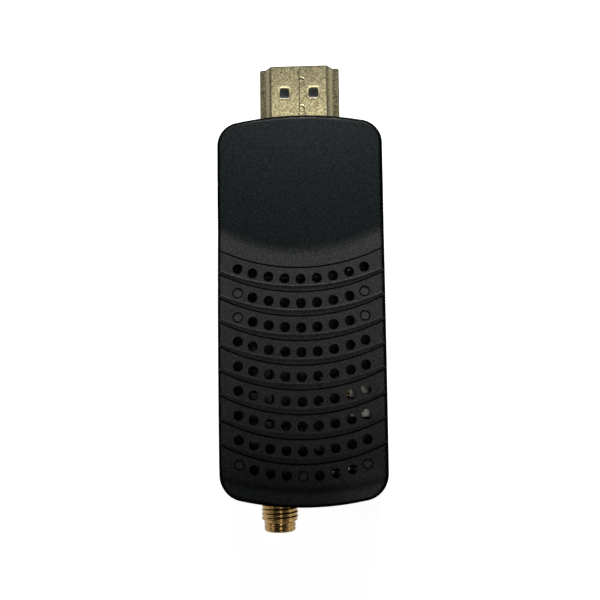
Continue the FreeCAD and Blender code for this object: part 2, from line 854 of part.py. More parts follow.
# Antenna jack
def make_jack_body():
    wall_inside = jack_flange_front()
    thread_end = jack_tip_y + jack_tip_length
    profile = [(0, jack_tip_y), (jack_tip_radius - jack_tip_bevel, jack_tip_y),
               (jack_tip_radius, jack_tip_y + jack_tip_bevel), (jack_tip_radius, thread_end)]
    turns = int((wall_inside - thread_end) / jack_pitch)
    for i in range(turns):
        start = thread_end + i * jack_pitch
        end = start + jack_pitch
        root = jack_root_share * jack_pitch
        crest = jack_crest_share * jack_pitch
        profile += [(jack_root_radius, start + root), (jack_crest_radius, start + crest),
                    (jack_crest_radius, end - crest), (jack_root_radius, end - root)]
    profile += [(jack_root_radius, wall_inside), (0, wall_inside)]
    loop = [point(jack_offset + r, y, parting_height) for r, y in profile]
    face = Part.Face(Part.makePolygon(loop + loop[:1]))
    barrel = face.revolve(point(jack_offset, 0, parting_height), point(0, 1, 0), 360)
    half = jack_flange_width / 2
    flange_back = jack_flange_back()
    flange = box(jack_offset - half, jack_offset + half, wall_inside, flange_back,
                 parting_height - half, parting_height + half)
    legs = []
    for side in (-1, 1):
        x = jack_offset + side * (half - jack_leg_width / 2)
        for z0 in (board_top, board_bottom - jack_leg_height):
            leg_size = (jack_leg_width, jack_leg_length, jack_leg_height)
            legs.append(block(x, flange_back + jack_leg_length / 2, z0, leg_size))
    body = joined([barrel, flange] + legs)
    mouth = rod(jack_mouth_radius, point(jack_offset, jack_tip_y - overrun, parting_height),
                point(jack_offset, jack_tip_y + jack_mouth_depth, parting_height))
    core = rod(jack_core_radius, point(jack_offset, jack_tip_y, parting_height),
               point(jack_offset, flange_back + overrun, parting_height))
    return body.cut([mouth, core])


def jack_flange_front():
    return tail_wall_y(abs(jack_offset) + jack_flange_width / 2) + opening_clearance


def jack_flange_back():
    return jack_flange_front() + jack_flange_thickness


def make_jack_insulator():
    front = point(jack_offset, jack_tip_y + jack_mouth_depth, parting_height)
    back = point(jack_offset, jack_flange_back(), parting_height)
    core = rod(jack_core_radius - insulator_gap / 2, front, back)
    return core.cut(rod(jack_contact_radius, front, back))


def make_jack_contact():
    front = point(jack_offset, jack_tip_y + jack_mouth_depth, parting_height)
    back = point(jack_offset, jack_flange_back(), parting_height)
    tail = point(jack_offset, jack_flange_back() + jack_pin_tail, parting_height)
    tube = rod(jack_contact_radius, front, back)
    tube = tube.cut(rod(jack_contact_bore, front, front + point(0, jack_contact_bore_depth, 0)))
    split = box(jack_offset - jack_contact_slit / 2, jack_offset + jack_contact_slit / 2, front.y,
                front.y + jack_contact_slit_length, parting_height - jack_contact_radius,
                parting_height + jack_contact_radius)
    return joined([tube.cut(split), rod(jack_pin_radius, back, tail)])


# Power socket, lying on the board with its mouth in the right side
def power_section(x, grow):
    top = board_top + power_height + grow
    bottom = board_top - grow
    half = power_width / 2 + grow
    cut = power_chamfer
    low, high = power_y - half, power_y + half
    corners = [(x, low + cut, bottom), (x, high - cut, bottom), (x, high, bottom + cut),
               (x, high, top), (x, low, top), (x, low, bottom + cut)]
    return rounded_polygon(corners, [power_round] * len(corners))


def power_mouth_x():
    return half_width - socket_inset


def make_power_shell():
    mouth = power_mouth_x()
    rear = mouth - power_depth
    flare_start = mouth - power_flare_length
    outer = Part.Face(power_section(rear, 0)).extrude(point(flare_start - rear, 0, 0))
    inner = Part.Face(power_section(rear - overrun, -power_sheet))
    inner = inner.extrude(point(flare_start - rear + overrun, 0, 0))
    flare = Part.makeLoft([power_section(flare_start, 0), power_section(mouth, power_flare)], True, True)
    well = Part.makeLoft([power_section(flare_start, -power_sheet),
                          power_section(mouth, power_flare - power_sheet)], True, True)
    return joined([outer.cut(inner), flare.cut(well)])


def power_tongue_z():
    return board_top + power_height / 2 + power_tongue_drop


def power_contact_shape(i):
    y = power_y + contact_xs(power_contact_count, power_contact_pitch)[i]
    y0, y1 = y - power_contact_width / 2, y + power_contact_width / 2
    sheet = power_contact_thickness
    rear = power_mouth_x() - power_depth
    under = power_tongue_z() - power_tongue_thickness / 2 - sheet
    front = rear + power_block_depth + power_tongue_length - power_contact_setback
    blade = box(rear, front, y0, y1, under, under + sheet)
    drop = box(rear - sheet, rear, y0, y1, board_top, under + sheet)
    foot = box(rear - power_contact_tail, rear, y0, y1, board_top, board_top + sheet)
    return joined([blade, drop, foot])


def make_power_contacts():
    return group([power_contact_shape(i) for i in range(power_contact_count)])


def make_power_tongue():
    rear = power_mouth_x() - power_depth
    block_face = Part.Face(power_section(rear, -power_sheet - insulator_gap))
    back = block_face.extrude(point(power_block_depth, 0, 0))
    z = power_tongue_z()
    half = power_tongue_width / 2
    tongue = box(rear, rear + power_block_depth + power_tongue_length, power_y - half, power_y + half,
                 z - power_tongue_thickness / 2, z + power_tongue_thickness / 2)
    return joined([back, tongue]).cut(make_power_contacts())


# Host socket, let into a cut-out of the board with its mouth in the left side
def host_mouth_x():
    return -half_width + socket_inset


def make_host_shell():
    mouth = host_mouth_x()
    rear = mouth + host_depth
    half, rise = host_width / 2, host_height / 2
    outer = box(mouth, rear, host_y - half, host_y + half, parting_height - rise, parting_height + rise)
    edges = [e for e in outer.Edges if e.BoundBox.XLength > host_depth / 2]
    outer = outer.makeFillet(2 * host_sheet, edges)
    inner = box(mouth - overrun, rear + overrun, host_y - half + host_sheet, host_y + half - host_sheet,
                parting_height - rise + host_sheet, parting_height + rise - host_sheet)
    edges = [e for e in inner.Edges if e.BoundBox.XLength > host_depth / 2]
    inner = inner.makeFillet(host_sheet, edges)
    slots = []
    for side in (-1, 1):
        y = host_y + side * host_width / 4
        for z0, z1 in ((parting_height + overrun, body_height), (0, parting_height - overrun)):
            x0 = mouth + host_spring_back
            x1 = x0 + host_spring_length
            wide = host_spring_width / 2
            narrow = wide - host_spring_slit
            spring = box(x0, x1, y - wide, y + wide, z0, z1)
            leaf = box(x0 + host_spring_slit, x1 + overrun, y - narrow, y + narrow, z0, z1)
            slots.append(spring.cut(leaf))
    tabs = []
    tab_x = rear - host_tab_ahead_of_rear
    for side in (-1, 1):
        y = host_y + side * (half + board_clearance)
        tabs.append(block(tab_x, y, board_top, (host_tab_length, 2 * board_clearance, host_sheet)))
    return joined([outer.cut(inner).cut(group(slots))] + tabs)


def host_tongue_z():
    return parting_height + host_tongue_lift


def host_contact_shape(i):
    y = host_y + contact_xs(host_contact_count, host_contact_pitch)[i]
    y0, y1 = y - host_contact_width / 2, y + host_contact_width / 2
    sheet = host_contact_thickness
    rear = host_mouth_x() + host_depth
    under = host_tongue_z() - host_tongue_thickness / 2 - sheet
    front = rear - host_block_depth - host_contact_length
    blade = box(front, rear, y0, y1, under, under + sheet)
    low = min(board_top, under)
    high = max(board_top, under) + sheet
    drop = box(rear, rear + sheet, y0, y1, low, high)
    foot = box(rear, rear + host_contact_tail, y0, y1, board_top, board_top + sheet)
    return joined([blade, drop, foot])


def make_host_contacts():
    return group([host_contact_shape(i) for i in range(host_contact_count)])


def make_host_tongue():
    rear = host_mouth_x() + host_depth
    gap = host_sheet + insulator_gap
    half, rise = host_width / 2 - gap, host_height / 2 - gap
    back = box(rear - host_block_depth, rear, host_y - half, host_y + half,
               parting_height - rise, parting_height + rise)
    edges = [e for e in back.Edges if e.BoundBox.XLength > host_block_depth / 2]
    back = back.makeFillet(host_sheet, edges)
    z0 = host_tongue_z() - host_tongue_thickness / 2
    tongue = box(rear - host_block_depth - host_tongue_length, rear, host_y - host_tongue_width / 2,
                 host_y + host_tongue_width / 2, z0, z0 + host_tongue_thickness)
    return joined([back, tongue]).cut(make_host_contacts())


# Receiver jack, under the board with its collar through the tail wall
def ir_wall_inside():
    return tail_wall_y(ir_offset + ir_width / 2) + opening_clearance


def make_ir_housing():
    wall_inside = ir_wall_inside()
    z = ir_axis_height()
    body = box(ir_offset - ir_width / 2, ir_offset + ir_width / 2, wall_inside, wall_inside + ir_length,
               z - ir_height / 2, z + ir_height / 2)
    edges = [e for e in body.Edges if e.BoundBox.YLength > ir_length / 2]
    body = body.makeChamfer(chip_chamfer, edges)
    collar_front = wall_inside - side_wall - opening_clearance
    collar = rod(ir_collar_radius, point(ir_offset, collar_front, z), point(ir_offset, wall_inside, z))
    bore = rod(ir_bore_radius, point(ir_offset, collar_front - overrun, z),
               point(ir_offset, collar_front + ir_bore_depth, z))
    return joined([body, collar]).cut(bore)


def make_ir_contacts():
    wall_inside = ir_wall_inside()
    z = ir_axis_height()
    contacts = []
    for i in range(ir_contact_count):
        side = -1 if i % 2 else 1
        face = ir_offset + side * ir_width / 2
        x0, x1 = sorted((face, face + side * ir_contact_thickness))
        y0 = wall_inside + ir_length * (i + 1) / (ir_contact_count + 1) - ir_contact_width / 2
        y1 = y0 + ir_contact_width
        blade = box(x0, x1, y0, y1, z - ir_height / 4, board_bottom)
        x0, x1 = sorted((face, face + side * ir_contact_length))
        foot = box(x0, x1, y0, y1, board_bottom - ir_contact_thickness, board_bottom)
        contacts.append(joined([blade, foot]))
    return group(contacts)


# Circuit board
def make_board():
    width = 2 * board_half
    length = board_nose_y - board_tail_y
    middle = (board_nose_y + board_tail_y) / 2
    board = prism(rounded_rectangle(0, middle, width, length, board_corner), board_bottom, board_top)
    cuts = []
    rear = host_mouth_x() + host_depth
    half = host_width / 2 + board_clearance / 2
    cuts.append(box(-half_width, rear + board_clearance / 2, host_y - half, host_y + half, 0, body_height))
    for x, y in screw_spots():
        reach = base_post_radius + board_clearance / 2
        cuts.append(rod(reach, point(x, y, 0), point(x, y, body_height)))
        x0, x1 = sorted((x, math.copysign(half_width, x)))
        cuts.append(box(x0, x1, y - reach, y + reach, 0, body_height))
    tail = jack_flange_back()
    flange_half = jack_flange_width / 2 + board_clearance / 2
    front = board_tail_y - overrun
    cuts.append(box(jack_offset - flange_half, jack_offset + flange_half, front, tail, 0, body_height))
    slot_half = jack_pin_radius + board_clearance / 4
    slot_end = tail + jack_pin_tail + board_clearance / 2
    cuts.append(box(jack_offset - slot_half, jack_offset + slot_half, front, slot_end, 0, body_height))
    return board.cut(cuts).removeSplitter()


# Chips
def gull_lead(x, y, side, shelf):
    # One flat lead: shoulder, leg and foot, running outwards to one side
    t = lead_thickness
    seat = board_top
    near, bend, far = 0.0, lead_reach - lead_foot, lead_reach
    path = [(near, shelf - t / 2), (bend, shelf - t / 2), (bend, seat), (far, seat), (far, seat + t),
            (bend + t, seat + t), (bend + t, shelf + t / 2), (near, shelf + t / 2)]
    loop = [point(x + side * d, y - lead_width / 2, z) for d, z in path]
    face = Part.Face(Part.makePolygon(loop + loop[:1]))
    return face.extrude(point(0, lead_width, 0))


def chip_body(x, y, seat, size):
    # Moulded body with a small dot sunk in one corner
    body = chamfered_block(x, y, seat, size, chip_chamfer)
    dot_x = x - size[0] * chip_dot_offset_share
    dot_y = y + size[1] * chip_dot_offset_share
    foot = point(dot_x, dot_y, seat + size[2] - chip_dot_depth)
    dot = rod(size[0] * chip_dot_share, foot, foot + point(0, 0, overrun))
    return body.cut(dot)


def lead_rows(x, y, size, pitch, count):
    leads = []
    for offset in contact_xs(count, pitch):
        for side in (-1, 1):
            leads.append(gull_lead(x + side * size[0] / 2, y + offset, side, chip_seat + size[2] / 2))
    return group(leads)


# Places on the board, worked out from its edges and from the parts beside them
def flash_spot():
    return (board_half - flash_size[0] / 2 - lead_reach - part_gap / 2,
            host_y - host_width / 2 + flash_size[1] / 2)


def decoder_rear():
    return decoder_y - decoder_size[1] / 2


def decoder_front():
    return decoder_y + decoder_size[1] / 2


def decoder_carrier_size():
    return decoder_size[0], decoder_size[1], decoder_carrier_height


def make_decoder_cap():
    # Moulded cap on the decoder's laminate carrier
    width, length = decoder_size[0] - 2 * decoder_cap_inset, decoder_size[1] - 2 * decoder_cap_inset
    foot = board_top + decoder_standoff + decoder_carrier_height
    height = decoder_size[2] - decoder_standoff - decoder_carrier_height
    return chip_body(0, decoder_y, foot, (width, length, height))


def make_decoder_balls():
    # Rings of solder balls between the carrier and the board
    balls = []
    for i in range(decoder_ball_count):
        for j in range(decoder_ball_count):
            edge = min(i, j, decoder_ball_count - 1 - i, decoder_ball_count - 1 - j)
            if edge < decoder_ball_rows:
                x = (i - (decoder_ball_count - 1) / 2) * decoder_ball_pitch
                y = decoder_y + (j - (decoder_ball_count - 1) / 2) * decoder_ball_pitch
                balls.append(rod(decoder_ball_radius, point(x, y, board_top),
                                 point(x, y, board_top + decoder_standoff)))
    return group(balls)


def inductor_spots():
    x = -board_half + inductor_inset
    rear = board_tail_y + inductor_ahead_of_tail
    return [(x, rear), (x, rear + inductor_size[1] + part_gap)]


def tuner_spot():
    y = jack_flange_back() + jack_leg_length + part_gap / 2 + tuner_size[1] / 2
    return jack_offset + tuner_beside_jack, y


def crystal_spots():
    x, y = tuner_spot()
    beside = x + tuner_size[0] / 2 + part_gap + crystal_size[0] / 2
    return [(beside, y), (inductor_spots()[0][0], decoder_rear() - part_gap - crystal_size[1] / 2)]


def bulk_spots():
    x = inductor_spots()[0][0] + inductor_size[0] / 2 + part_gap + bulk_capacitor_size[0] / 2
    y = decoder_rear() - part_gap - bulk_capacitor_size[1] / 2
    return [(x, y), (x, y - bulk_capacitor_size[1] - part_gap), (x + bulk_capacitor_size[0] + part_gap, y)]


def regulator_spots():
    x = bulk_spots()[2][0] + bulk_capacitor_size[0] / 2 + part_gap + lead_reach + regulator_size[0] / 2
    return [(x, bulk_y - regulator_shift) for bulk_x, bulk_y in bulk_spots()[:2]]


def small_capacitor_spots():
    # One row ahead of the decoder and two parts under the last row of vents
    front_y = decoder_front() + (small_capacitor_size[0] + part_gap) / 2
    spots = [(front_capacitor_right - vent_column_pitch * i, front_y) for i in range(front_capacitor_count)]
    for column in tail_capacitor_columns:
        x, y = vent_centre(vent_rows, column)
        spots.append((x, y - tail_capacitor_drop))
    return spots


def lying_resistor_spots():
    return [(vent_x(column), row_y(vent_rows - 2) - row_resistor_drop) for column in row_resistor_columns]


def standing_resistor_spots():
    x = flash_spot()[0] - flash_size[0] / 2 - lead_reach - part_gap
    top = flash_spot()[1] + flash_size[1] / 2 - resistor_size[1] / 2
    spots = [(x, top - resistor_pitch * i) for i in range(flash_resistor_count)]
    nose = plug_rear_y - contact_tail - part_gap - resistor_size[1] / 2
    spots += [(resistor_pitch * (i + 1), nose) for i in range(plug_resistor_count)]
    return spots


def led_spot():
    return -(decoder_size[0] + part_gap + led_size[0]) / 2, decoder_rear() + led_ahead


def capped(spots, size, chamfer):
    return group([chamfered_block(x, y, board_top, size, chamfer) for x, y in spots])


def end_capped(spots, size, chamfer, lying):
    # Small parts as two lists: their bodies and the metal ends of the bodies
    bodies = []
    ends = []
    width, length, height = size
    core = (width + overrun, length * (1 - 2 * end_cap_share), height + 2 * overrun)
    for x, y in spots:
        whole = chamfered_block(x, y, board_top, (length, width, height) if lying else size, chamfer)
        middle = block(x, y, board_top - overrun, (core[1], core[0], core[2]) if lying else core)
        bodies.append(whole.common(middle))
        ends += whole.cut(middle).Solids
    return bodies, ends


def make_small_parts():
    rows = [
        end_capped(small_capacitor_spots(), small_capacitor_size, small_chamfer, True),
        end_capped(lying_resistor_spots(), resistor_size, thin_chamfer, True),
        end_capped(standing_resistor_spots(), resistor_size, thin_chamfer, False),
    ]
    bodies = [row[0] for row in rows]
    return {
        "ceramic_capacitors": group(bodies[0]),
        "resistors": group(bodies[1] + bodies[2]),
        "small_part_ends": group([end for row in rows for end in row[1]]),
    }


def make_inductors():
    cores = []
    for x, y in inductor_spots():
        body = chamfered_block(x, y, board_top, inductor_size, chip_chamfer)
        top = board_top + inductor_size[2]
        foot = top - inductor_groove_depth
        ring = rod(inductor_core_radius, point(x, y, foot), point(x, y, top + overrun))
        core_radius = inductor_core_radius - inductor_groove_width
        core = rod(core_radius, point(x, y, foot), point(x, y, top - inductor_core_drop))
        cores.append(joined([body.cut(ring), core]))
    return group(cores)


def make_regulators():
    return group([chip_body(x, y, chip_seat, regulator_size) for x, y in regulator_spots()])


def make_regulator_leads():
    leads = []
    for x, y in regulator_spots():
        rows = lead_rows(x, y, regulator_size, regulator_lead_pitch, regulator_lead_count)
        leads += rows.Solids
    return group(leads)


def build():
    nodes = {
        "top_cover": make_lid(),
        "bottom_cover": make_base(),
        "cover_screws": make_screws(),
        "video_plug_shell": make_plug_shell(),
        "video_plug_insulator": make_plug_insulator(),
        "video_plug_upper_contacts": make_plug_contacts(upper_contact_count, True),
        "video_plug_lower_contacts": make_plug_contacts(lower_contact_count, False),
        "antenna_jack_body": make_jack_body(),
        "antenna_jack_insulator": make_jack_insulator(),
        "antenna_jack_contact": make_jack_contact(),
        "power_socket_shell": make_power_shell(),
        "power_socket_tongue": make_power_tongue(),
        "power_socket_contacts": make_power_contacts(),
        "host_socket_shell": make_host_shell(),
        "host_socket_tongue": make_host_tongue(),
        "host_socket_contacts": make_host_contacts(),
        "receiver_jack_housing": make_ir_housing(),
        "receiver_jack_contacts": make_ir_contacts(),
        "circuit_board": make_board(),
        "decoder_chip": make_decoder_cap(),
        "decoder_chip_carrier": block(0, decoder_y, board_top + decoder_standoff, decoder_carrier_size()),
        "decoder_chip_balls": make_decoder_balls(),
        "memory_chip": block(0, decoder_y, board_bottom - memory_size[2], memory_size),
        "flash_chip": chip_body(*flash_spot(), chip_seat, flash_size),
        "flash_chip_leads": lead_rows(*flash_spot(), flash_size, flash_lead_pitch, flash_lead_count),
        "tuner_chip": chamfered_block(*tuner_spot(), board_top, tuner_size, chip_chamfer / 2),
        "crystals": capped(crystal_spots(), crystal_size, can_chamfer),
        "power_inductors": make_inductors(),
        "bulk_capacitors": capped(bulk_spots(), bulk_capacitor_size, can_chamfer),
        "voltage_regulators": make_regulators(),
        "voltage_regulator_leads": make_regulator_leads(),
        "status_led": chamfered_block(*led_spot(), board_top, led_size, small_chamfer),
    }
    nodes.update(make_small_parts())
    return nodes


def main():
    os.makedirs("parts", exist_ok=True)
    for name, shape in build().items():
        shape.exportStep("parts/" + name + ".step")
        print(name, len(shape.Solids), shape.isValid(), round(shape.Volume, 3))


main()
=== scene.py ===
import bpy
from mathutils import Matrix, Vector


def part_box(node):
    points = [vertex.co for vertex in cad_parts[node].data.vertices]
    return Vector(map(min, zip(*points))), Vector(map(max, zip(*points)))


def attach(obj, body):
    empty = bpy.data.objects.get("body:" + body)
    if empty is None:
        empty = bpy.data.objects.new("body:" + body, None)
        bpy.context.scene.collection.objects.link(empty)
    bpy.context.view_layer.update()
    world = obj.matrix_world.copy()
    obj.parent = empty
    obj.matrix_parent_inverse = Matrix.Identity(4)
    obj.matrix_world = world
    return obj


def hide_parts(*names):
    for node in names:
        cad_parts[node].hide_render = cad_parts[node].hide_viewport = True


bl_info = {
    "name": "TV Decoder Dongle",
    "version": (1, 0, 0),
    "blender": (4, 5, 0),
    "location": "3D Viewport > Sidebar > TV Decoder",
    "description": "Dresses the frame of a plug-in TV decoder and lays it on a pale floor",
    "category": "Object",
}

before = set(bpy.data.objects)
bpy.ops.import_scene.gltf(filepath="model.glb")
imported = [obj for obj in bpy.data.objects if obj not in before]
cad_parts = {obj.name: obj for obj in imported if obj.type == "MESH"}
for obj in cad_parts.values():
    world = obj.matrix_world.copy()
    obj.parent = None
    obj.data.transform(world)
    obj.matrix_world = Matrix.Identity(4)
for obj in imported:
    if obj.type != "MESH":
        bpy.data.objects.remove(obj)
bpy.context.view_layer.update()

import math

import bmesh
import bpy
from bpy.props import FloatProperty, FloatVectorProperty, PointerProperty
from mathutils import Euler, Vector

BODY = "root"
CASE_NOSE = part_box("top_cover")[1][1]
PLUG_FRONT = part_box("video_plug_shell")[1][1]
JACK_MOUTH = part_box("antenna_jack_body")[0][1]

# Height of the floor, a hair below the back so that the two faces stay apart
FLOOR = -0.00003

# Rows of vents, and those with blind ones: 1 for a pair at the row's ends, 0 for one in its middle
ROWS = 9
BLIND_VENTS = ((2, 1), (3, 1), (9, 1), (9, 0))

# Range that most of a noise lies in, and the range of its middle values
NOISE_RANGE = (0.3, 0.7)
CLOUD_RANGE = (0.35, 0.65)

# Places of the colour sockets on a node that blends two colours
BLEND_FIRST = 6
BLEND_SECOND = 7
BLEND_RESULT = 2


# Sizes and colours that a user would change

def length(name, description, default):
    return FloatProperty(name=name, description=description, default=default, min=0.0,
                         unit="LENGTH", precision=5)


def colour(name, description, default):
    return FloatVectorProperty(name=name, description=description, default=default, size=3,
                               min=0.0, max=1.0, subtype="COLOR")


def share(name, description, default):
    return FloatProperty(name=name, description=description, default=default, min=0.0, max=1.0,
                         subtype="FACTOR")


class DecoderLidSizes(bpy.types.PropertyGroup):
    """Places and sizes of the marks on the vented lid"""
    vent_radius: length("Vent radius", "Radius of each round vent", 0.00085)
    row_pitch: length("Row pitch", "Distance from one row of vents to the next", 0.00406)
    column_pitch: length("Column pitch", "Distance between vents along a row", 0.002686)
    end_pitch: length("End pitch", "Distance from the last vent of a row to its neighbour", 0.002511)
    first_row_back: length("First row", "Distance from the nose to the first row of vents", 0.02798)
    row_bow: length("Row bow", "Radius of the bow of the rows and grooves", 0.0305)
    groove_ahead: length("Groove place", "Distance of a groove ahead of its row", 0.00192)
    groove_width: length("Groove width", "Width of each groove", 0.00024)
    strip_width: length("Strip width", "Width of the strip behind each groove", 0.0009)
    strip_bow: length("Strip bow", "Radius of the bow of the strip's front edge", 0.034)
    bead_height: length("Bead height", "Height of the bead along each band's rear edge", 0.000026)
    bead_width: length("Bead width", "Width of that bead", 0.00024)
    hollow_back: length("Hollow place", "Distance of the soft hollow behind the last row", 0.0025)
    hollow_width: length("Hollow width", "Width of that hollow", 0.0022)
    hollow_depth: length("Hollow depth", "Depth of that hollow", 0.00012)
    hollow_bow: length("Hollow bow", "Radius of the bow of that hollow", 0.0488)
    crease_place: length("Crease place", "Distance of the front crease ahead of the origin", 0.00684)
    crease_bow: FloatProperty(name="Crease bow", default=20.33, min=0.0,
                              description="Rise of the front crease per square metre across")


class DecoderPlugSizes(bpy.types.PropertyGroup):
    """Places of the windows, the folds and the seam in the video plug's sheet"""
    bevel: length("Bevel", "Width of the bevel on the sheet's edges", 0.00006)
    fold_place: length("Fold", "Distance of the face's folded edge from the centre line", 0.0048)
    wing_place: length("Wing", "Distance of the wing's root from the centre line", 0.00585)
    window_width: length("Window width", "Width of each latch window", 0.00174)
    window_length: length("Window length", "Length of each latch window", 0.0018)
    window_bend: length("Window bend", "Radius of the windows' corners", 0.00042)
    window_spacing: length("Window spacing", "Distance between the two latch windows", 0.005)
    window_back: length("Window place", "Distance of the windows behind the front edge", 0.00475)
    seam_offset: FloatProperty(name="Seam place", description="Place of the seam across the plug",
                               default=0.00005, unit="LENGTH", precision=5)
    key_reach: length("Key reach", "Length of the seam's two tongues across the plug", 0.00085)
    key_length: length("Key length", "Length of the tongues along the plug", 0.0012)
    key_bend: length("Key bend", "Radius of the tongues' corners", 0.000456)
    first_key_back: length("First key", "Distance of the first tongue behind the front edge", 0.0028)
    second_key_back: length("Second key", "Distance of the second tongue behind the front edge", 0.00765)


class DecoderJackSizes(bpy.types.PropertyGroup):
    """Sizes of the threaded antenna jack"""
    offset: length("Offset", "Distance of the jack left of the centre line", 0.0043)
    rise: length("Rise", "Height of the jack's axis", 0.006)
    crest_radius: length("Crest radius", "Radius over the thread's crests", 0.0031)
    root_radius: length("Root radius", "Radius at the thread's rounded roots", 0.00294)
    pitch: length("Pitch", "Distance between the turns of the thread", 0.0007056)
    tip_radius: length("Tip radius", "Radius of the tip", 0.00267)
    tip_length: length("Tip length", "Length of the tip", 0.0016)
    tip_bevel: length("Tip bevel", "Length of the bevel at the jack's mouth", 0.0003)
    tip_groove: length("Tip groove", "Depth of the fine grooves round the tip", 0.00008)
    thread_length: length("Thread length", "Length of the thread from the tip to the flange", 0.00476)


class DecoderFinishes(bpy.types.PropertyGroup):
    """Colours and gloss of the decoder's finishes"""
    case_black: colour("Case black", "Colour of the vented and the side faces", (0.0020, 0.0028, 0.0024))
    nose_black: colour("Nose black", "Colour of the smooth nose", (0.0006, 0.0030, 0.0033))
    # Painted shade in the grooves, rims, crevices and vent rings
    painted_shade_black: colour("Groove black", "Colour of grooves, rims and crevices", (0.0004, 0.0004, 0.0004))
    nose_gloss: share("Nose gloss", "Gloss of the smooth nose", 0.20)
    front_gloss: share("Front gloss", "Gloss of the vented face at its front", 0.50)
    tail_gloss: share("Tail gloss", "Gloss of the vented face at the tail", 0.12)
    back_gloss: share("Back gloss", "Gloss of the back half", 0.34)
    plug_gold: colour("Plug gold", "Pale gold plating of the video plug", (0.59, 0.53, 0.32))
    jack_gold: colour("Jack gold", "Gold plating of the antenna jack", (0.30, 0.178, 0.056))
    contact_gold: colour("Contact gold", "Gold plating of the contacts", (0.76, 0.56, 0.24))
    nickel: colour("Nickel", "Nickel plating of the sockets", (0.30, 0.285, 0.25))
    board_green: colour("Board green", "Solder mask of the circuit board", (0.008, 0.040, 0.024))
    insulator_black: colour("Insulator black", "Moulded insulators", (0.022, 0.024, 0.028))


class DecoderStage(bpy.types.PropertyGroup):
    """Camera, floor and light from all round"""
    camera_place: FloatVectorProperty(name="Camera place", description="Place of the camera", size=3,
                                      default=(0.006852, -0.011984, 0.162), subtype="TRANSLATION")
    camera_turn: FloatVectorProperty(name="Camera turn", description="Turn of the camera", size=3,
                                     default=[math.radians(turn) for turn in (4.1430, 2.6572, -0.9938)],
                                     subtype="EULER")
    lens: FloatProperty(name="Lens", description="Focal length for a 36 mm wide picture",
                        default=54.6084, min=1.0, unit="CAMERA")
    floor_size: length("Floor size", "Width of the floor", 3.0)
    floor_glow: share("Floor glow", "Strength of the white that the floor shows", 0.93)
    sky: FloatProperty(name="Sky", description="Strength of the light from all round",
                       default=0.02, min=0.0)


# Nodes of the finishes, the floor and the sky

class Nodes:
    """Node tree with short calls for its nodes"""

    def __init__(self, tree):
        self.nodes = tree.nodes
        self.links = tree.links

    def add(self, kind, inputs=None, **settings):
        """New node with the given settings, and with its inputs fed"""
        node = self.nodes.new(kind)
        for key, value in settings.items():
            setattr(node, key, value)
        for name, value in (inputs or {}).items():
            self.feed(node.inputs[name], value)
        return node

    def feed(self, socket, value):
        """Wires an output to the socket, or sets the socket to a number or a colour"""
        if isinstance(value, bpy.types.NodeSocket):
            self.links.new(value, socket)
        elif socket.type == "RGBA":
            socket.default_value = (*value, 1.0)
        else:
            socket.default_value = value

    def split(self, vector):
        """The X, Y and Z of a vector"""
        return tuple(self.add("ShaderNodeSeparateXYZ", {"Vector": vector}).outputs)

    def math(self, operation, *values):
        """Result of one operation on outputs and numbers"""
        return self.add("ShaderNodeMath", dict(enumerate(values)), operation=operation).outputs["Value"]

    def chain(self, operation, result, *values):
        """Result of one operation carried through all the values"""
        for value in values:
            result = self.math(operation, result, value)
        return result

    def spread(self, source, low, high, new_low=0.0, new_high=1.0):
        """Maps low to the new low and high to the new high, and holds the value beyond both"""
        limits = {"From Min": low, "From Max": high, "To Min": new_low, "To Max": new_high}
        return self.add("ShaderNodeMapRange", {"Value": source, **limits}).outputs["Result"]

    def scaled(self, value, part, factor):
        """The value, times the factor where the part is one"""
        return self.math("MULTIPLY", value, self.spread(part, 0.0, 1.0, 1.0, factor))

    def between(self, part, low, high):
        """The number where the part is zero, and the output where it is one"""
        return self.math("MULTIPLY_ADD", part, self.math("SUBTRACT", high, low), low)

    def distance_from(self, value, place):
        """How far the value lies from a place, to either side"""
        return self.math("ABSOLUTE", self.math("SUBTRACT", value, place))

    def near_line(self, value, line, width):
        """One on the line at the given value, falling to zero at the width from it"""
        return self.spread(self.distance_from(value, line), width, 0.0)


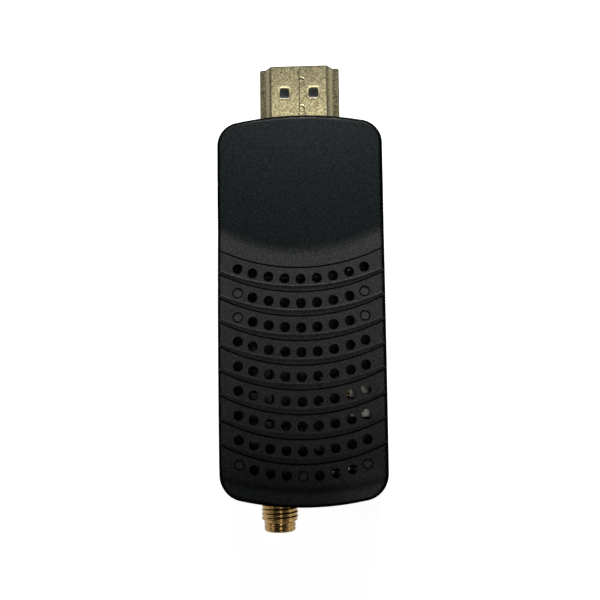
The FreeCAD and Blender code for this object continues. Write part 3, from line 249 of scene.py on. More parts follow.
class Finish(Nodes):
    """Node material of one of the decoder's finishes"""

    def __init__(self, name, base, roughness=0.5, metallic=0.0, gloss=0.5):
        self.material = bpy.data.materials.new(name)
        self.material.use_nodes = True
        super().__init__(self.material.node_tree)
        self.surface = self.nodes["Principled BSDF"].inputs
        self.feed(self.surface["Base Color"], base)
        self.feed(self.surface["Roughness"], roughness)
        self.feed(self.surface["Metallic"], metallic)
        self.feed(self.surface["Specular IOR Level"], gloss)
        self.place = self.add("ShaderNodeTexCoord").outputs["Object"]
        self.relief_so_far = None

    def in_grains(self, grain, stretch=(1, 1, 1)):
        """Place on the piece, counted in grains of the given size in metres"""
        scale = [along / grain for along in stretch]
        return self.add("ShaderNodeMapping", {"Vector": self.place, "Scale": scale}).outputs["Vector"]

    def noise(self, grain, detail=2.0, roughness=0.5, stretch=(1, 1, 1)):
        """Cloudy pattern with grains of the given size in metres"""
        inputs = {"Vector": self.in_grains(grain, stretch), "Scale": 1.0}
        inputs.update({"Detail": detail, "Roughness": roughness})
        return self.add("ShaderNodeTexNoise", inputs).outputs["Fac"]

    def cells(self, grain):
        """Distance from the middle of the nearest of many small cells"""
        inputs = {"Vector": self.in_grains(grain), "Scale": 1.0}
        return self.add("ShaderNodeTexVoronoi", inputs, feature="F1").outputs["Distance"]

    def facing_up(self):
        """How nearly level the face lies, from zero on a wall to one on a level face"""
        normal = self.add("ShaderNodeNewGeometry").outputs["True Normal"]
        return self.math("ABSOLUTE", self.split(normal)[2])

    def rounded_box(self, across, along, centre, half, bend):
        """Distance from a rounded rectangle, less than zero inside it"""
        beyond = []
        for value, middle, reach in zip((across, along), centre, half):
            beyond.append(self.math("SUBTRACT", self.distance_from(value, middle), reach - bend))
        outside = [self.math("MAXIMUM", value, 0.0) for value in beyond]
        squares = [self.math("MULTIPLY", value, value) for value in outside]
        corner = self.math("SQRT", self.math("ADD", *squares))
        inside = self.math("MINIMUM", self.math("MAXIMUM", *beyond), 0.0)
        return self.math("SUBTRACT", self.math("ADD", corner, inside), bend)

    def blend_colours(self, part, first, second):
        """The first colour where the part is zero, and the second where it is one"""
        colours = {"Factor": part, BLEND_FIRST: first, BLEND_SECOND: second}
        return self.add("ShaderNodeMix", colours, data_type="RGBA").outputs[BLEND_RESULT]

    def tint(self, source):
        """Colour of the finish"""
        self.feed(self.surface["Base Color"], source)

    def rough(self, source, low, high):
        """Roughness that follows a noise"""
        self.feed(self.surface["Roughness"], self.spread(source, *NOISE_RANGE, low, high))

    def relief(self, source, rise, strength=1.0):
        """Relief of the given rise in metres, laid over any relief put on before"""
        bump = self.add("ShaderNodeBump", {"Height": source, "Distance": rise, "Strength": strength})
        if self.relief_so_far is not None:
            self.feed(bump.inputs["Normal"], self.relief_so_far)
        self.relief_so_far = bump.outputs["Normal"]
        self.feed(self.surface["Normal"], self.relief_so_far)


def shade(rgb, factor):
    """Darker or paler shade of a colour"""
    return tuple(min(1.0, channel * factor) for channel in rgb)


def shades(rgb, factors):
    """Two shades of a colour, to blend between"""
    return [shade(rgb, factor) for factor in factors]


# Case

# Heights between which the halves' finishes meet, and between which the marks on the lid's face fade in
CASE_JOINT = (0.004, 0.007)
LID_FACE = (0.0085, 0.0095)

# Places across and along the case between which a mark or the gloss fades in
INNER_EDGE = (0.0130, 0.0127)
GLOSS_FADE = (-0.032, -0.0016)
CORNER_ACROSS = (0.003, 0.012)
CORNER_BEHIND_NOSE = (0.058, 0.064)

# How level a face is where the rims begin, where they end, and in the crevices
RIM_TOP = (0.985, 0.93)
RIM_FOOT = (0.02, 0.15)
CREVICE_WALL = (0.6, 0.4)

# Share of each mark that is painted shade: its colour turns to the shade black and its gloss is taken away
RIM_HIDES = 0.98
CREVICE_HIDES = 0.95
GROOVE_HIDES = 0.9
RING_HIDES = 0.9

# Soft edges of the marks, measured outward from the true edge
CREASE_EDGE = (0.0014, -0.0002)
GROOVE_EDGE = (0.00004, -0.00003)
RING_INSET = 0.00006
RING_EDGE = (0.00017, 0.00006)
DISC_EDGE = (-0.00004, -0.00012)

# Rows behind the first one between which the first groove fades in, and the last groove and bead fade out
FIRST_GROOVE = (-0.5, -0.4)
LAST_GROOVE = (ROWS - 0.5, ROWS - 0.6)
LAST_BEAD = (ROWS - 1.7, ROWS - 1.8)

# Widths of a bead ahead of the first one between which it fades in, and how softly the hollow is rounded
FIRST_BEAD = (1.5, 1.0)
HOLLOW_SOFTNESS = 0.3

# Sizes of the clouds, the grain and the pebbles of the moulded skin
SKIN_CLOUD = 0.0035
SKIN_GRAIN = 0.00030
SKIN_PEBBLES = 0.00020

# Range of the grain over which its brighter specks fade in, their shade, and the shades of the clouds
SKIN_SPECKS = (0.45, 0.68)
SPECK_SHADE = 3.0
CLOUD_SHADES = (0.9, 1.1)

# Roughness of the smooth nose and of the vented face
NOSE_ROUGHNESS = 0.53
VENTED_ROUGHNESS = 0.50

# Gloss of the discs, the polished corner and the hollow against the lid's, and its swing with the grain
DISC_GLOSS = 1.5
CORNER_GLOSS = 2.6
HOLLOW_GLOSS = 0.45
GRAIN_GLOSS = (0.6, 1.4)


class CaseFinish(Finish):
    """Finish of the case, with the places of the lid's marks: each is one on the mark and zero elsewhere"""

    def __init__(self, name, base):
        super().__init__(name, base)
        self.lid = bpy.context.scene.decoder_lid
        self.across, self.along, self.up = self.split(self.place)
        self.across_squared = self.math("MULTIPLY", self.across, self.across)

    def on_lid(self, *marks):
        """Keeps marks to the lid's face"""
        return self.chain("MULTIPLY", self.spread(self.up, *LID_FACE), *marks)

    def bowed_place(self, bow):
        """Place along the middle of the bowed line that runs through a point"""
        sag = self.math("SQRT", self.math("SUBTRACT", bow ** 2, self.across_squared))
        return self.math("ADD", self.math("SUBTRACT", self.along, bow), sag)

    def from_nearest_row(self, off):
        """Distance from the nearest of the lines that repeat with the rows"""
        half = self.lid.row_pitch / 2
        return self.math("ABSOLUTE", self.math("WRAP", off, -half, half))

    def behind_crease(self):
        """One behind the front crease, and zero on the smooth nose"""
        crease = self.math("MULTIPLY_ADD", self.across_squared, self.lid.crease_bow, self.lid.crease_place)
        return self.spread(self.math("SUBTRACT", self.along, crease), *CREASE_EDGE)

    def rims(self):
        """The round rims, where shade is painted and the gloss is taken away"""
        tilt = self.facing_up()
        below_top = self.spread(tilt, *RIM_TOP, 0.0, RIM_HIDES)
        return self.math("MULTIPLY", below_top, self.spread(tilt, *RIM_FOOT))

    def crevices(self):
        """The upright walls of the vents and the grooves, where shade is painted"""
        inner = self.spread(self.math("ABSOLUTE", self.across), *INNER_EDGE)
        walls = self.spread(self.facing_up(), *CREVICE_WALL, 0.0, CREVICE_HIDES)
        return self.math("MULTIPLY", walls, inner)

    def grooves(self):
        """The grooves ahead of the rows of vents, where shade is painted"""
        pitch = self.lid.row_pitch
        first = CASE_NOSE - self.lid.first_row_back + self.lid.groove_ahead
        off = self.math("SUBTRACT", self.bowed_place(self.lid.row_bow), first)
        edges = [self.lid.groove_width / 2 + edge for edge in GROOVE_EDGE]
        groove = self.spread(self.from_nearest_row(off), *edges, 0.0, GROOVE_HIDES)
        behind_first = self.spread(off, *[-rows * pitch for rows in FIRST_GROOVE])
        ahead_of_last = self.spread(off, *[-rows * pitch for rows in LAST_GROOVE])
        return self.on_lid(groove, behind_first, ahead_of_last)

    def beads(self):
        """The fine beads along the rear edges of the bands"""
        pitch = self.lid.row_pitch
        width = self.lid.bead_width
        first = CASE_NOSE - self.lid.first_row_back - pitch + self.lid.groove_ahead + self.lid.strip_width
        off = self.math("SUBTRACT", self.bowed_place(self.lid.strip_bow), first + width / 2)
        bead = self.spread(self.from_nearest_row(off), width / 2, 0.0)
        behind_first = self.spread(off, *[widths * width for widths in FIRST_BEAD])
        ahead_of_last = self.spread(off, *[-rows * pitch for rows in LAST_BEAD])
        return self.on_lid(bead, behind_first, ahead_of_last)

    def blind_vents(self):
        """The discs of the blind vents, and the rings round them, where shade is painted"""
        off_middle = self.math("ABSOLUTE", self.across)
        squares = []
        for row, at_ends in BLIND_VENTS:
            x = at_ends * (3 * self.lid.column_pitch + self.lid.end_pitch)
            rise = self.lid.row_bow - math.sqrt(self.lid.row_bow ** 2 - x ** 2)
            y = CASE_NOSE - self.lid.first_row_back - (row - 1) * self.lid.row_pitch + rise
            off = [self.math("SUBTRACT", off_middle, x), self.math("SUBTRACT", self.along, y)]
            squares.append(self.math("ADD", *[self.math("MULTIPLY", value, value) for value in off]))
        distance = self.math("SQRT", self.chain("MINIMUM", *squares))
        radius = self.lid.vent_radius - RING_INSET
        disc = self.spread(distance, *[radius + edge for edge in DISC_EDGE])
        ring = self.spread(self.distance_from(distance, radius), *RING_EDGE, 0.0, RING_HIDES)
        return self.on_lid(disc), self.on_lid(ring)

    def tail_hollow(self):
        """The soft hollow behind the last row of vents, falling smoothly to zero"""
        last_row = CASE_NOSE - self.lid.first_row_back - (ROWS - 1) * self.lid.row_pitch
        hollow = self.near_line(self.bowed_place(self.lid.hollow_bow), last_row - self.lid.hollow_back,
                                self.lid.hollow_width / 2)
        return self.on_lid(self.math("SMOOTH_MIN", hollow, 1.0, HOLLOW_SOFTNESS))

    def tail_corner(self):
        """The right corner of the tail, which handling has polished"""
        right = self.spread(self.across, *CORNER_ACROSS)
        behind = self.spread(self.along, *[CASE_NOSE - back for back in CORNER_BEHIND_NOSE])
        return self.math("MULTIPLY", right, behind)


def case_plastic():
    """Black plastic: smooth ahead of the front crease, coarser behind it and duller toward the tail, with
    painted shade in its rims, crevices, grooves and vent rings
    """
    finishes = bpy.context.scene.decoder_finishes
    finish = CaseFinish("case_plastic", finishes.case_black)
    lid_half = finish.spread(finish.up, *CASE_JOINT)
    coarse = finish.math("MAXIMUM", finish.behind_crease(), finish.math("SUBTRACT", 1.0, lid_half))
    disc, ring = finish.blind_vents()
    hollow = finish.tail_hollow()
    # Painted shade: the rims, crevices, grooves and vent rings turn to the shade black and lose their gloss
    painted_shade = finish.chain("MAXIMUM", finish.rims(), finish.crevices(), finish.grooves(), ring)

    cloud = finish.spread(finish.noise(SKIN_CLOUD, detail=3.0), *CLOUD_RANGE)
    grain = finish.noise(SKIN_GRAIN, detail=3.0, roughness=0.6)
    speck = finish.spread(grain, *SKIN_SPECKS)
    skins = []
    for black in (finishes.nose_black, finishes.case_black):
        clouded = finish.blend_colours(cloud, *shades(black, CLOUD_SHADES))
        skins.append(finish.blend_colours(speck, clouded, shade(black, SPECK_SHADE)))
    finish.tint(finish.blend_colours(painted_shade, finish.blend_colours(coarse, *skins), finishes.painted_shade_black))
    roughness = finish.spread(coarse, 0.0, 1.0, NOSE_ROUGHNESS, VENTED_ROUGHNESS)
    finish.feed(finish.surface["Roughness"], roughness)

    gloss = finish.spread(finish.along, *GLOSS_FADE, finishes.tail_gloss, finishes.front_gloss)
    for mark, factor in ((disc, DISC_GLOSS), (finish.tail_corner(), CORNER_GLOSS), (hollow, HOLLOW_GLOSS)):
        gloss = finish.scaled(gloss, mark, factor)
    gloss = finish.between(lid_half, finishes.back_gloss, gloss)
    gloss = finish.between(coarse, finishes.nose_gloss, gloss)
    gloss = finish.math("MULTIPLY", gloss, finish.spread(grain, *NOISE_RANGE, *GRAIN_GLOSS))
    finish.feed(finish.surface["Specular IOR Level"], finish.scaled(gloss, painted_shade, 0.0))

    finish.relief(finish.beads(), finish.lid.bead_height)
    finish.relief(hollow, -finish.lid.hollow_depth)
    finish.relief(finish.cells(SKIN_GRAIN), rise=0.000016, strength=0.6)
    finish.relief(finish.noise(SKIN_PEBBLES, detail=3.0), rise=0.000030, strength=0.7)
    return finish.material


# Video plug

# Sizes of the sheet's speckle and patches, and the speckle's range on the face and on the folded edges
PLUG_SPECKLE = 0.00029
PLUG_PATCH = 0.0021
FACE_SPECKS = (0.38, 0.60)
EDGE_SPECKS = (0.43, 0.57)

# Shades of the gold: pale specks and dull ones, at the front edge and at the case, and both as painted shade
# on the folded edges
PALE_SHADES = (0.64, 1.42)
DULL_SHADES = (0.28, 0.52)
FOLD_PAINTED_SHADES = (0.15, 0.44)

# Shades of the patches, of the painted shade on the slanting sides, of the painted highlight on the windows'
# front rims, and of the seam with the painted shade along the fold and the front edge
PATCH_SHADE = 0.9
PATCH_SHARE = 0.4
SLANT_PAINTED_SHADE = 0.54
RIM_HIGHLIGHT_SHADE = 1.7
SEAM_AND_PAINTED_SHADE = 0.12

# Distances behind the front edge between which the gold turns paler, and over which the edge itself is
# darkened with painted shade
PALER_BEHIND = (0.001, 0.009)
SHADED_FRONT_EDGE = 0.0003

# Offsets from a fold over which the painted shade of the folded edge fades in, and from the face's fold over
# which the slant's painted shade does
FOLD_EDGE = (-0.0001, 0.00005)
SLANT_EDGE = (0.00038, 0.00050)

# Offsets from a window's middle over which the painted highlight on its front rim fades in
RIM_EDGE = (-0.0002, 0.0005)

# Offset and half width of each fine line: the painted highlight and the raised lip along the windows, the
# dark seam and its lip, and the painted shade along the fold
WINDOW_RIM_HIGHLIGHT = (0.00006, 0.00014)
WINDOW_LIP = (0.00012, 0.00022)
SEAM_LINE = (0.0, 0.00012)
SEAM_LIP = (0.00016, 0.00014)
FOLD_OFFSET = 0.00005
FOLD_WIDTH = 0.00018

# Painted reflection of a pale ceiling on the faces under the windows: its two greys, and the heights and the
# levelness over which it fades in
REFLECTION_GREYS = ((0.24, 0.29, 0.40), (0.32, 0.37, 0.50))
REFLECTION_HEIGHTS = (0.0070, 0.0074)
REFLECTION_LEVELNESS = (0.90, 0.97)


class PlugFinish(Finish):
    """Finish of the video plug's folded sheet, with the places of its windows, folds and seam"""

    def __init__(self, name, base):
        super().__init__(name, base, roughness=0.7, metallic=1.0)
        self.plug = bpy.context.scene.decoder_plug
        self.across, self.along, _ = self.split(self.place)
        self.off_middle = self.math("ABSOLUTE", self.across)

    def windows(self):
        """Distance from the edge of the nearer latch window"""
        plug = self.plug
        centre = (plug.window_spacing / 2, PLUG_FRONT - plug.window_back)
        half = (plug.window_width / 2, plug.window_length / 2)
        return self.rounded_box(self.off_middle, self.along, centre, half, plug.window_bend)

    def seam(self):
        """Distance from the seam and the two tongues that lock it"""
        plug = self.plug
        half = (plug.key_reach / 2, plug.key_length / 2)
        parts = [self.math("SUBTRACT", self.across, plug.seam_offset)]
        for back in (plug.first_key_back, plug.second_key_back):
            centre = (plug.seam_offset + plug.key_reach / 2, PLUG_FRONT - back)
            parts.append(self.rounded_box(self.across, self.along, centre, half, plug.key_bend))
        return self.chain("MINIMUM", *parts)

    def aside(self, place, edge):
        """One farther from the centre line than the place, fading in over its edge"""
        return self.spread(self.off_middle, *[place + offset for offset in edge])


def plug_gold():
    """Dull pale gold with a coarse sparkle and a locked seam, brownish painted shade on its folded sides,
    slants, fold line and front edge, and a painted highlight on the windows' front rims
    """
    base = bpy.context.scene.decoder_finishes.plug_gold
    finish = PlugFinish("plug_gold", base)
    fold = finish.plug.fold_place
    windows = finish.windows()
    seam = finish.seam()
    speckle = finish.noise(PLUG_SPECKLE, detail=4.0, roughness=0.7)
    patch = finish.spread(finish.noise(PLUG_PATCH), *CLOUD_RANGE)
    to_case = finish.spread(finish.along, *[PLUG_FRONT - back for back in PALER_BEHIND])

    pale = finish.blend_colours(to_case, *shades(base, PALE_SHADES))
    pale = finish.blend_colours(finish.math("MULTIPLY", patch, PATCH_SHARE), pale, shade(base, PATCH_SHADE))
    dull = finish.blend_colours(to_case, *shades(base, DULL_SHADES))
    sheet = finish.blend_colours(finish.spread(speckle, *FACE_SPECKS), dull, pale)
    # Painted shade on the folded edges, the slanting sides and the wings
    folded = finish.blend_colours(finish.spread(speckle, *EDGE_SPECKS), *shades(base, FOLD_PAINTED_SHADES))
    sheet = finish.blend_colours(finish.aside(fold, FOLD_EDGE), sheet, folded)
    sheet = finish.blend_colours(finish.aside(fold, SLANT_EDGE), sheet, shade(base, SLANT_PAINTED_SHADE))
    sheet = finish.blend_colours(finish.aside(finish.plug.wing_place, FOLD_EDGE), sheet, folded)

    # Painted highlight on the front rims of the windows
    window_middle = PLUG_FRONT - finish.plug.window_back
    front_half = finish.spread(finish.along, *[window_middle + edge for edge in RIM_EDGE])
    painted_rim_highlight = finish.math("MULTIPLY", finish.near_line(windows, *WINDOW_RIM_HIGHLIGHT), front_half)
    sheet = finish.blend_colours(painted_rim_highlight, sheet, shade(base, RIM_HIGHLIGHT_SHADE))
    # Dark seam line, with painted shade along the face's fold and at the front edge
    dark = finish.chain("MAXIMUM", finish.near_line(seam, *SEAM_LINE),
                        finish.near_line(finish.off_middle, fold + FOLD_OFFSET, FOLD_WIDTH),
                        finish.spread(finish.along, PLUG_FRONT - SHADED_FRONT_EDGE, PLUG_FRONT))
    finish.tint(finish.blend_colours(dark, sheet, shade(base, SEAM_AND_PAINTED_SHADE)))

    finish.rough(speckle, low=0.85, high=0.66)
    finish.relief(speckle, rise=0.00006, strength=0.8)
    lips = finish.math("MAXIMUM", finish.near_line(windows, *WINDOW_LIP), finish.near_line(seam, *SEAM_LIP))
    finish.relief(lips, rise=0.00006)
    return finish.material


def plug_insulator():
    """Black moulding, with a painted grey reflection on the level faces that lie under the latch windows"""
    black = bpy.context.scene.decoder_finishes.insulator_black
    finish = Finish("plug_insulator", black, roughness=0.35, gloss=0.35)
    cloud = finish.noise(grain=0.0012, detail=3.0)
    # Painted reflection of a pale ceiling, grey on the level faces under the windows
    painted_reflection = finish.blend_colours(cloud, *REFLECTION_GREYS)
    height = finish.split(finish.place)[2]
    level = finish.spread(finish.facing_up(), *REFLECTION_LEVELNESS)
    painted_reflection_share = finish.math("MULTIPLY", level, finish.spread(height, *REFLECTION_HEIGHTS))
    finish.tint(finish.blend_colours(painted_reflection_share, shade(black, factor=0.45), painted_reflection))
    finish.rough(cloud, low=0.32, high=0.45)
    finish.relief(finish.noise(grain=0.0003, detail=3.0), rise=0.000015, strength=0.5)
    return finish.material


# Other finishes

def jack_gold():
    """Bright gold with turning marks, browner where it has worn"""
    base = bpy.context.scene.decoder_finishes.jack_gold
    finish = Finish("jack_gold", base, roughness=0.2, metallic=0.9)
    wear = finish.noise(grain=0.0009, detail=3.0)
    turned = finish.noise(grain=0.00012, stretch=(0.35, 1.0, 0.35))
    worn = finish.spread(wear, low=0.38, high=0.68)
    finish.tint(finish.blend_colours(worn, base, shade(base, factor=0.78)))
    finish.rough(wear, low=0.13, high=0.22)
    finish.relief(turned, rise=0.000002, strength=0.5)
    return finish.material


def plating(name, base, roughness, grain, tarnish=0.86):
    """Plated metal with finely brushed relief, tarnished in patches"""
    finish = Finish(name, base, roughness, metallic=1.0)
    wear = finish.noise(grain, detail=3.0)
    brushed = finish.noise(grain / 8, stretch=(1, 4, 1))
    worn = finish.spread(wear, low=0.40, high=0.60)
    finish.tint(finish.blend_colours(worn, base, shade(base, tarnish)))
    finish.rough(wear, low=0.85 * roughness, high=1.25 * roughness)
    finish.relief(brushed, rise=0.000004, strength=0.4)
    return finish.material


def moulded(name, base, roughness, grain=0.0003, gloss=0.5):
    """Moulded or cast matter with a fine grain"""
    finish = Finish(name, base, roughness, gloss=gloss)
    cloud = finish.noise(8 * grain, detail=3.0)
    finish.tint(finish.blend_colours(finish.spread(cloud, *CLOUD_RANGE), *shades(base, (0.88, 1.12))))
    finish.rough(cloud, low=0.9 * roughness, high=1.1 * roughness)
    finish.relief(finish.noise(grain, detail=3.0), rise=grain / 20, strength=0.5)
    return finish.material


def board_mask():
    """Green solder mask with faint raised tracks"""
    base = bpy.context.scene.decoder_finishes.board_green
    finish = Finish("board_mask", base, roughness=0.32, gloss=0.3)
    inputs = {"Vector": finish.in_grains(grain=0.0016), "Scale": 1.0, "Mortar Size": 0.09}
    for socket, factor in (("Color1", 1.0), ("Color2", 1.2), ("Mortar", 1.9)):
        inputs[socket] = shade(base, factor)
    tracks = finish.add("ShaderNodeTexBrick", inputs, offset=0.5, squash=1.0)
    finish.tint(tracks.outputs["Color"])
    finish.relief(tracks.outputs["Fac"], rise=0.00002, strength=0.5)
    return finish.material


def clear_resin():
    """Yellowish resin of the status light"""
    finish = Finish("led_resin", (0.78, 0.76, 0.62), roughness=0.18)
    finish.feed(finish.surface["Coat Weight"], 0.4)
    cloud = finish.noise(grain=0.0004)
    finish.tint(finish.blend_colours(cloud, first=(0.80, 0.78, 0.66), second=(0.70, 0.66, 0.46)))
    finish.relief(cloud, rise=0.00001, strength=0.4)
    return finish.material


def cover(material, slot, *nodes):
    """Gives pieces of the frame their finish"""
    for node in nodes:
        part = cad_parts[node]
        part.data.materials.clear()
        part.data.materials.append(material)


# Pieces that stand in for nodes of the frame

# Distance within which points are one, and angles over which faces stay apart, are bevelled or stay sharp
WELD = 1e-7
FLAT_ANGLE = math.radians(0.5)
BEVEL_ANGLE = math.radians(35)
SHARP_ANGLE = math.radians(30)

# Points in a turn of the thread, rows of them, their gap to the old rims, and how near a rim is to its place
THREAD_AROUND = 96
THREAD_ROWS = 112
THREAD_GAP = 0.00005
RIM_REACH = 0.00001

# Shares of a turn over which the thread and the tip's grooves reach their full depth
THREAD_RUN_IN = 0.5
GROOVE_RUN_IN = 0.25


def welded_copy(source, material):
    """Copy of a node's mesh in the given finish, and its welded form to work on"""
    mesh = source.data.copy()
    mesh.materials.clear()
    mesh.materials.append(material)
    form = bmesh.new()
    form.from_mesh(mesh)
    bmesh.ops.remove_doubles(form, verts=form.verts, dist=WELD)
    return mesh, form


def finished_piece(source, name, mesh, form):
    """Smooth piece of the finished form, where the node is"""
    form.to_mesh(mesh)
    form.free()
    mesh.polygons.foreach_set("use_smooth", [True] * len(mesh.polygons))
    piece = bpy.data.objects.new(name, mesh)
    bpy.context.scene.collection.objects.link(piece)
    piece.matrix_world = source.matrix_world.copy()
    return piece


def bevelled(node, material, width):
    """Copy of a node with a fine bevel on its sharp edges, standing in for the node"""
    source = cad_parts[node]
    mesh, form = welded_copy(source, material)
    bmesh.ops.dissolve_limit(form, angle_limit=FLAT_ANGLE, verts=form.verts, edges=form.edges)
    piece = finished_piece(source, node + ".bevelled", mesh, form)
    modifier = piece.modifiers.new("bevel", "BEVEL")
    modifier.width = width
    modifier.segments = 2
    modifier.limit_method = "ANGLE"
    modifier.angle_limit = BEVEL_ANGLE
    modifier.use_clamp_overlap = True
    weighted = piece.modifiers.new("weighted", "WEIGHTED_NORMAL")
    weighted.weight = 100
    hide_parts(node)
    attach(piece, BODY)
    return piece


def jack_radius(jack, place, turn):
    """Radius of the jack's outside at a place along it and a share of a turn round it"""
    behind_bevel = place - JACK_MOUTH - jack.tip_bevel
    behind_tip = place - JACK_MOUTH - jack.tip_length
    wave = 0.5 + 0.5 * math.cos(2 * math.pi * (behind_tip / jack.pitch - turn))
    groove_share = min(1.0, behind_bevel / (GROOVE_RUN_IN * jack.pitch))
    thread_share = min(1.0, max(0.0, behind_tip / (THREAD_RUN_IN * jack.pitch)))
    tip = jack.tip_radius - jack.tip_groove * (1.0 - wave) * groove_share
    thread = jack.root_radius + (jack.crest_radius - jack.root_radius) * wave
    return tip + (thread - tip) * thread_share


def cut_outside(jack, form, start, end):
    """Takes away the jack's outer faces between two places, and returns the rim that is left at each"""
    margin = 1e-6
    narrowest = 0.0026
    widest = jack.crest_radius + 0.0001
    outside = []
    for face in form.faces:
        place = face.calc_center_median()
        reach = math.hypot(place.x + jack.offset, place.z - jack.rise)
        if narrowest < reach < widest and start + margin < place.y < end - margin:
            outside.append(face)
    bmesh.ops.delete(form, geom=outside, context="FACES")
    open_edges = [edge for edge in form.edges if edge.is_boundary]
    rims = []
    for place in (start, end):
        rims.append([edge for edge in open_edges
                     if all(abs(vert.co.y - place) < RIM_REACH for vert in edge.verts)])
    return rims


def close_gap(form, ring, rim):
    """Band of faces between a ring of points and the rim that was left beside it"""
    loop = [form.edges.get(pair) for pair in zip(ring, ring[1:] + ring[:1])]
    bmesh.ops.bridge_loops(form, edges=rim + loop)


def wind_thread(jack, material):
    """Copy of the antenna jack's body with a helical thread in place of its rings"""
    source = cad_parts["antenna_jack_body"]
    mesh, form = welded_copy(source, material)
    start = JACK_MOUTH + jack.tip_bevel
    end = JACK_MOUTH + jack.tip_length + jack.thread_length
    mouth_rim, flange_rim = cut_outside(jack, form, start, end)
    rings = []
    for row in range(THREAD_ROWS + 1):
        place = start + THREAD_GAP + (end - start - 2 * THREAD_GAP) * row / THREAD_ROWS
        ring = []
        for step in range(THREAD_AROUND):
            turn = step / THREAD_AROUND
            radius = jack_radius(jack, place, turn)
            angle = 2 * math.pi * turn
            ring.append(form.verts.new((-jack.offset + radius * math.sin(angle), place,
                                        jack.rise + radius * math.cos(angle))))
        rings.append(ring)
    for lower, upper in zip(rings, rings[1:]):
        for step in range(THREAD_AROUND):
            after = (step + 1) % THREAD_AROUND
            form.faces.new((lower[step], upper[step], upper[after], lower[after]))
    close_gap(form, rings[0], mouth_rim)
    close_gap(form, rings[-1], flange_rim)
    bmesh.ops.recalc_face_normals(form, faces=form.faces)
    piece = finished_piece(source, "antenna_jack_body.threaded", mesh, form)
    mesh.set_sharp_from_angle(angle=SHARP_ANGLE)
    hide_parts("antenna_jack_body")
    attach(piece, BODY)
    return piece


# Operators

class DECODER_OT_case(bpy.types.Operator):
    """Give both halves of the case and their screws their finishes"""
    bl_idname = "decoder.dress_case"
    bl_label = "Case"

    def execute(self, context):
        cover(case_plastic(), "case_plastic", "top_cover", "bottom_cover")
        steel = plating("black_steel", (0.05, 0.05, 0.055), roughness=0.38, grain=0.0008)
        cover(steel, "black_steel", "cover_screws")
        return {"FINISHED"}


class DECODER_OT_plug(bpy.types.Operator):
    """Dress the video plug"""
    bl_idname = "decoder.dress_plug"
    bl_label = "Video plug"

    def execute(self, context):
        bevelled("video_plug_shell", plug_gold(), context.scene.decoder_plug.bevel)
        cover(plug_insulator(), "black_insulator", "video_plug_insulator")
        return {"FINISHED"}


class DECODER_OT_contacts(bpy.types.Operator):
    """Gild the contacts of the plug, the jack and the sockets"""
    bl_idname = "decoder.gild_contacts"
    bl_label = "Contacts"

    def execute(self, context):
        base = context.scene.decoder_finishes.contact_gold
        gold = plating("contact_gold", base, roughness=0.25, grain=0.0006)
        cover(gold, "gold_contact", "video_plug_upper_contacts", "video_plug_lower_contacts",
              "antenna_jack_contact", "power_socket_contacts", "host_socket_contacts")
        return {"FINISHED"}


class DECODER_OT_jack(bpy.types.Operator):
    """Dress the threaded antenna jack"""
    bl_idname = "decoder.dress_jack"
    bl_label = "Antenna jack"

    def execute(self, context):
        wind_thread(context.scene.decoder_jack, jack_gold())
        white = moulded("white_dielectric", (0.80, 0.79, 0.75), roughness=0.45)
        cover(white, "white_insulator", "antenna_jack_insulator")
        return {"FINISHED"}


class DECODER_OT_sockets(bpy.types.Operator):
    """Dress the sockets in the case's sides and tail"""
    bl_idname = "decoder.dress_sockets"
    bl_label = "Sockets"

    def execute(self, context):
        finishes = context.scene.decoder_finishes
        nickel = plating("nickel_sheet", finishes.nickel, roughness=0.3, grain=0.0011, tarnish=0.25)
        cover(nickel, "nickel_sheet", "power_socket_shell", "host_socket_shell")
        black = moulded("socket_insulator", finishes.insulator_black, roughness=0.5)
        cover(black, "black_insulator", "power_socket_tongue", "host_socket_tongue", "receiver_jack_housing")
        return {"FINISHED"}


class DECODER_OT_board(bpy.types.Operator):
    """Dress the circuit board and all that stands on it"""
    bl_idname = "decoder.dress_board"
    bl_label = "Circuit board"

    def execute(self, context):
        cover(board_mask(), "board_laminate", "circuit_board")
        resin = moulded("chip_resin", (0.022, 0.022, 0.024), roughness=0.55, grain=0.0001)
        cover(resin, "chip_resin", "decoder_chip", "memory_chip", "flash_chip", "tuner_chip",
              "voltage_regulators")
        tin = plating("tinned_lead", (0.62, 0.62, 0.63), roughness=0.3, grain=0.0003)
        cover(tin, "tinned_lead", "decoder_chip_balls", "flash_chip_leads", "voltage_regulator_leads",
              "small_part_ends", "receiver_jack_contacts")
        laminate = moulded("chip_laminate", (0.012, 0.030, 0.020), roughness=0.35)
        cover(laminate, "chip_laminate", "decoder_chip_carrier")
        can = plating("crystal_can", (0.075, 0.073, 0.068), roughness=0.4, grain=0.0007)
        cover(can, "crystal_can", "crystals")
        ferrite = moulded("ferrite", (0.20, 0.20, 0.21), roughness=0.35, grain=0.00015, gloss=1.0)
        cover(ferrite, "ferrite", "power_inductors")
        tantalum = moulded("tantalum_resin", (0.040, 0.036, 0.032), roughness=0.45, grain=0.0002)
        cover(tantalum, "tantalum_resin", "bulk_capacitors")
        ceramic = moulded("ceramic", (0.42, 0.31, 0.20), roughness=0.5, grain=0.0001)
        cover(ceramic, "ceramic", "ceramic_capacitors")
        film = moulded("resistor_film", (0.03, 0.03, 0.03), roughness=0.3, grain=0.0001)
        cover(film, "resistor_body", "resistors")
        cover(clear_resin(), "led_lens", "status_led")
        return {"FINISHED"}


# Stage

# Light that metal shows in the pale walls, above them and overhead, and the share of it beyond the jack
WALL_LIGHT = 0.75
UPPER_LIGHT = 0.10
CEILING_LIGHT = 0.02
JACK_SIDE_SHARE = 0.30

# Parts of a unit direction over which the walls end, the ceiling darkens and the jack's side dims
WALL_TOP = (0.50, 0.62)
CEILING_EDGE = (0.80, 0.95)
JACK_SIDE = (-0.2, -0.6)

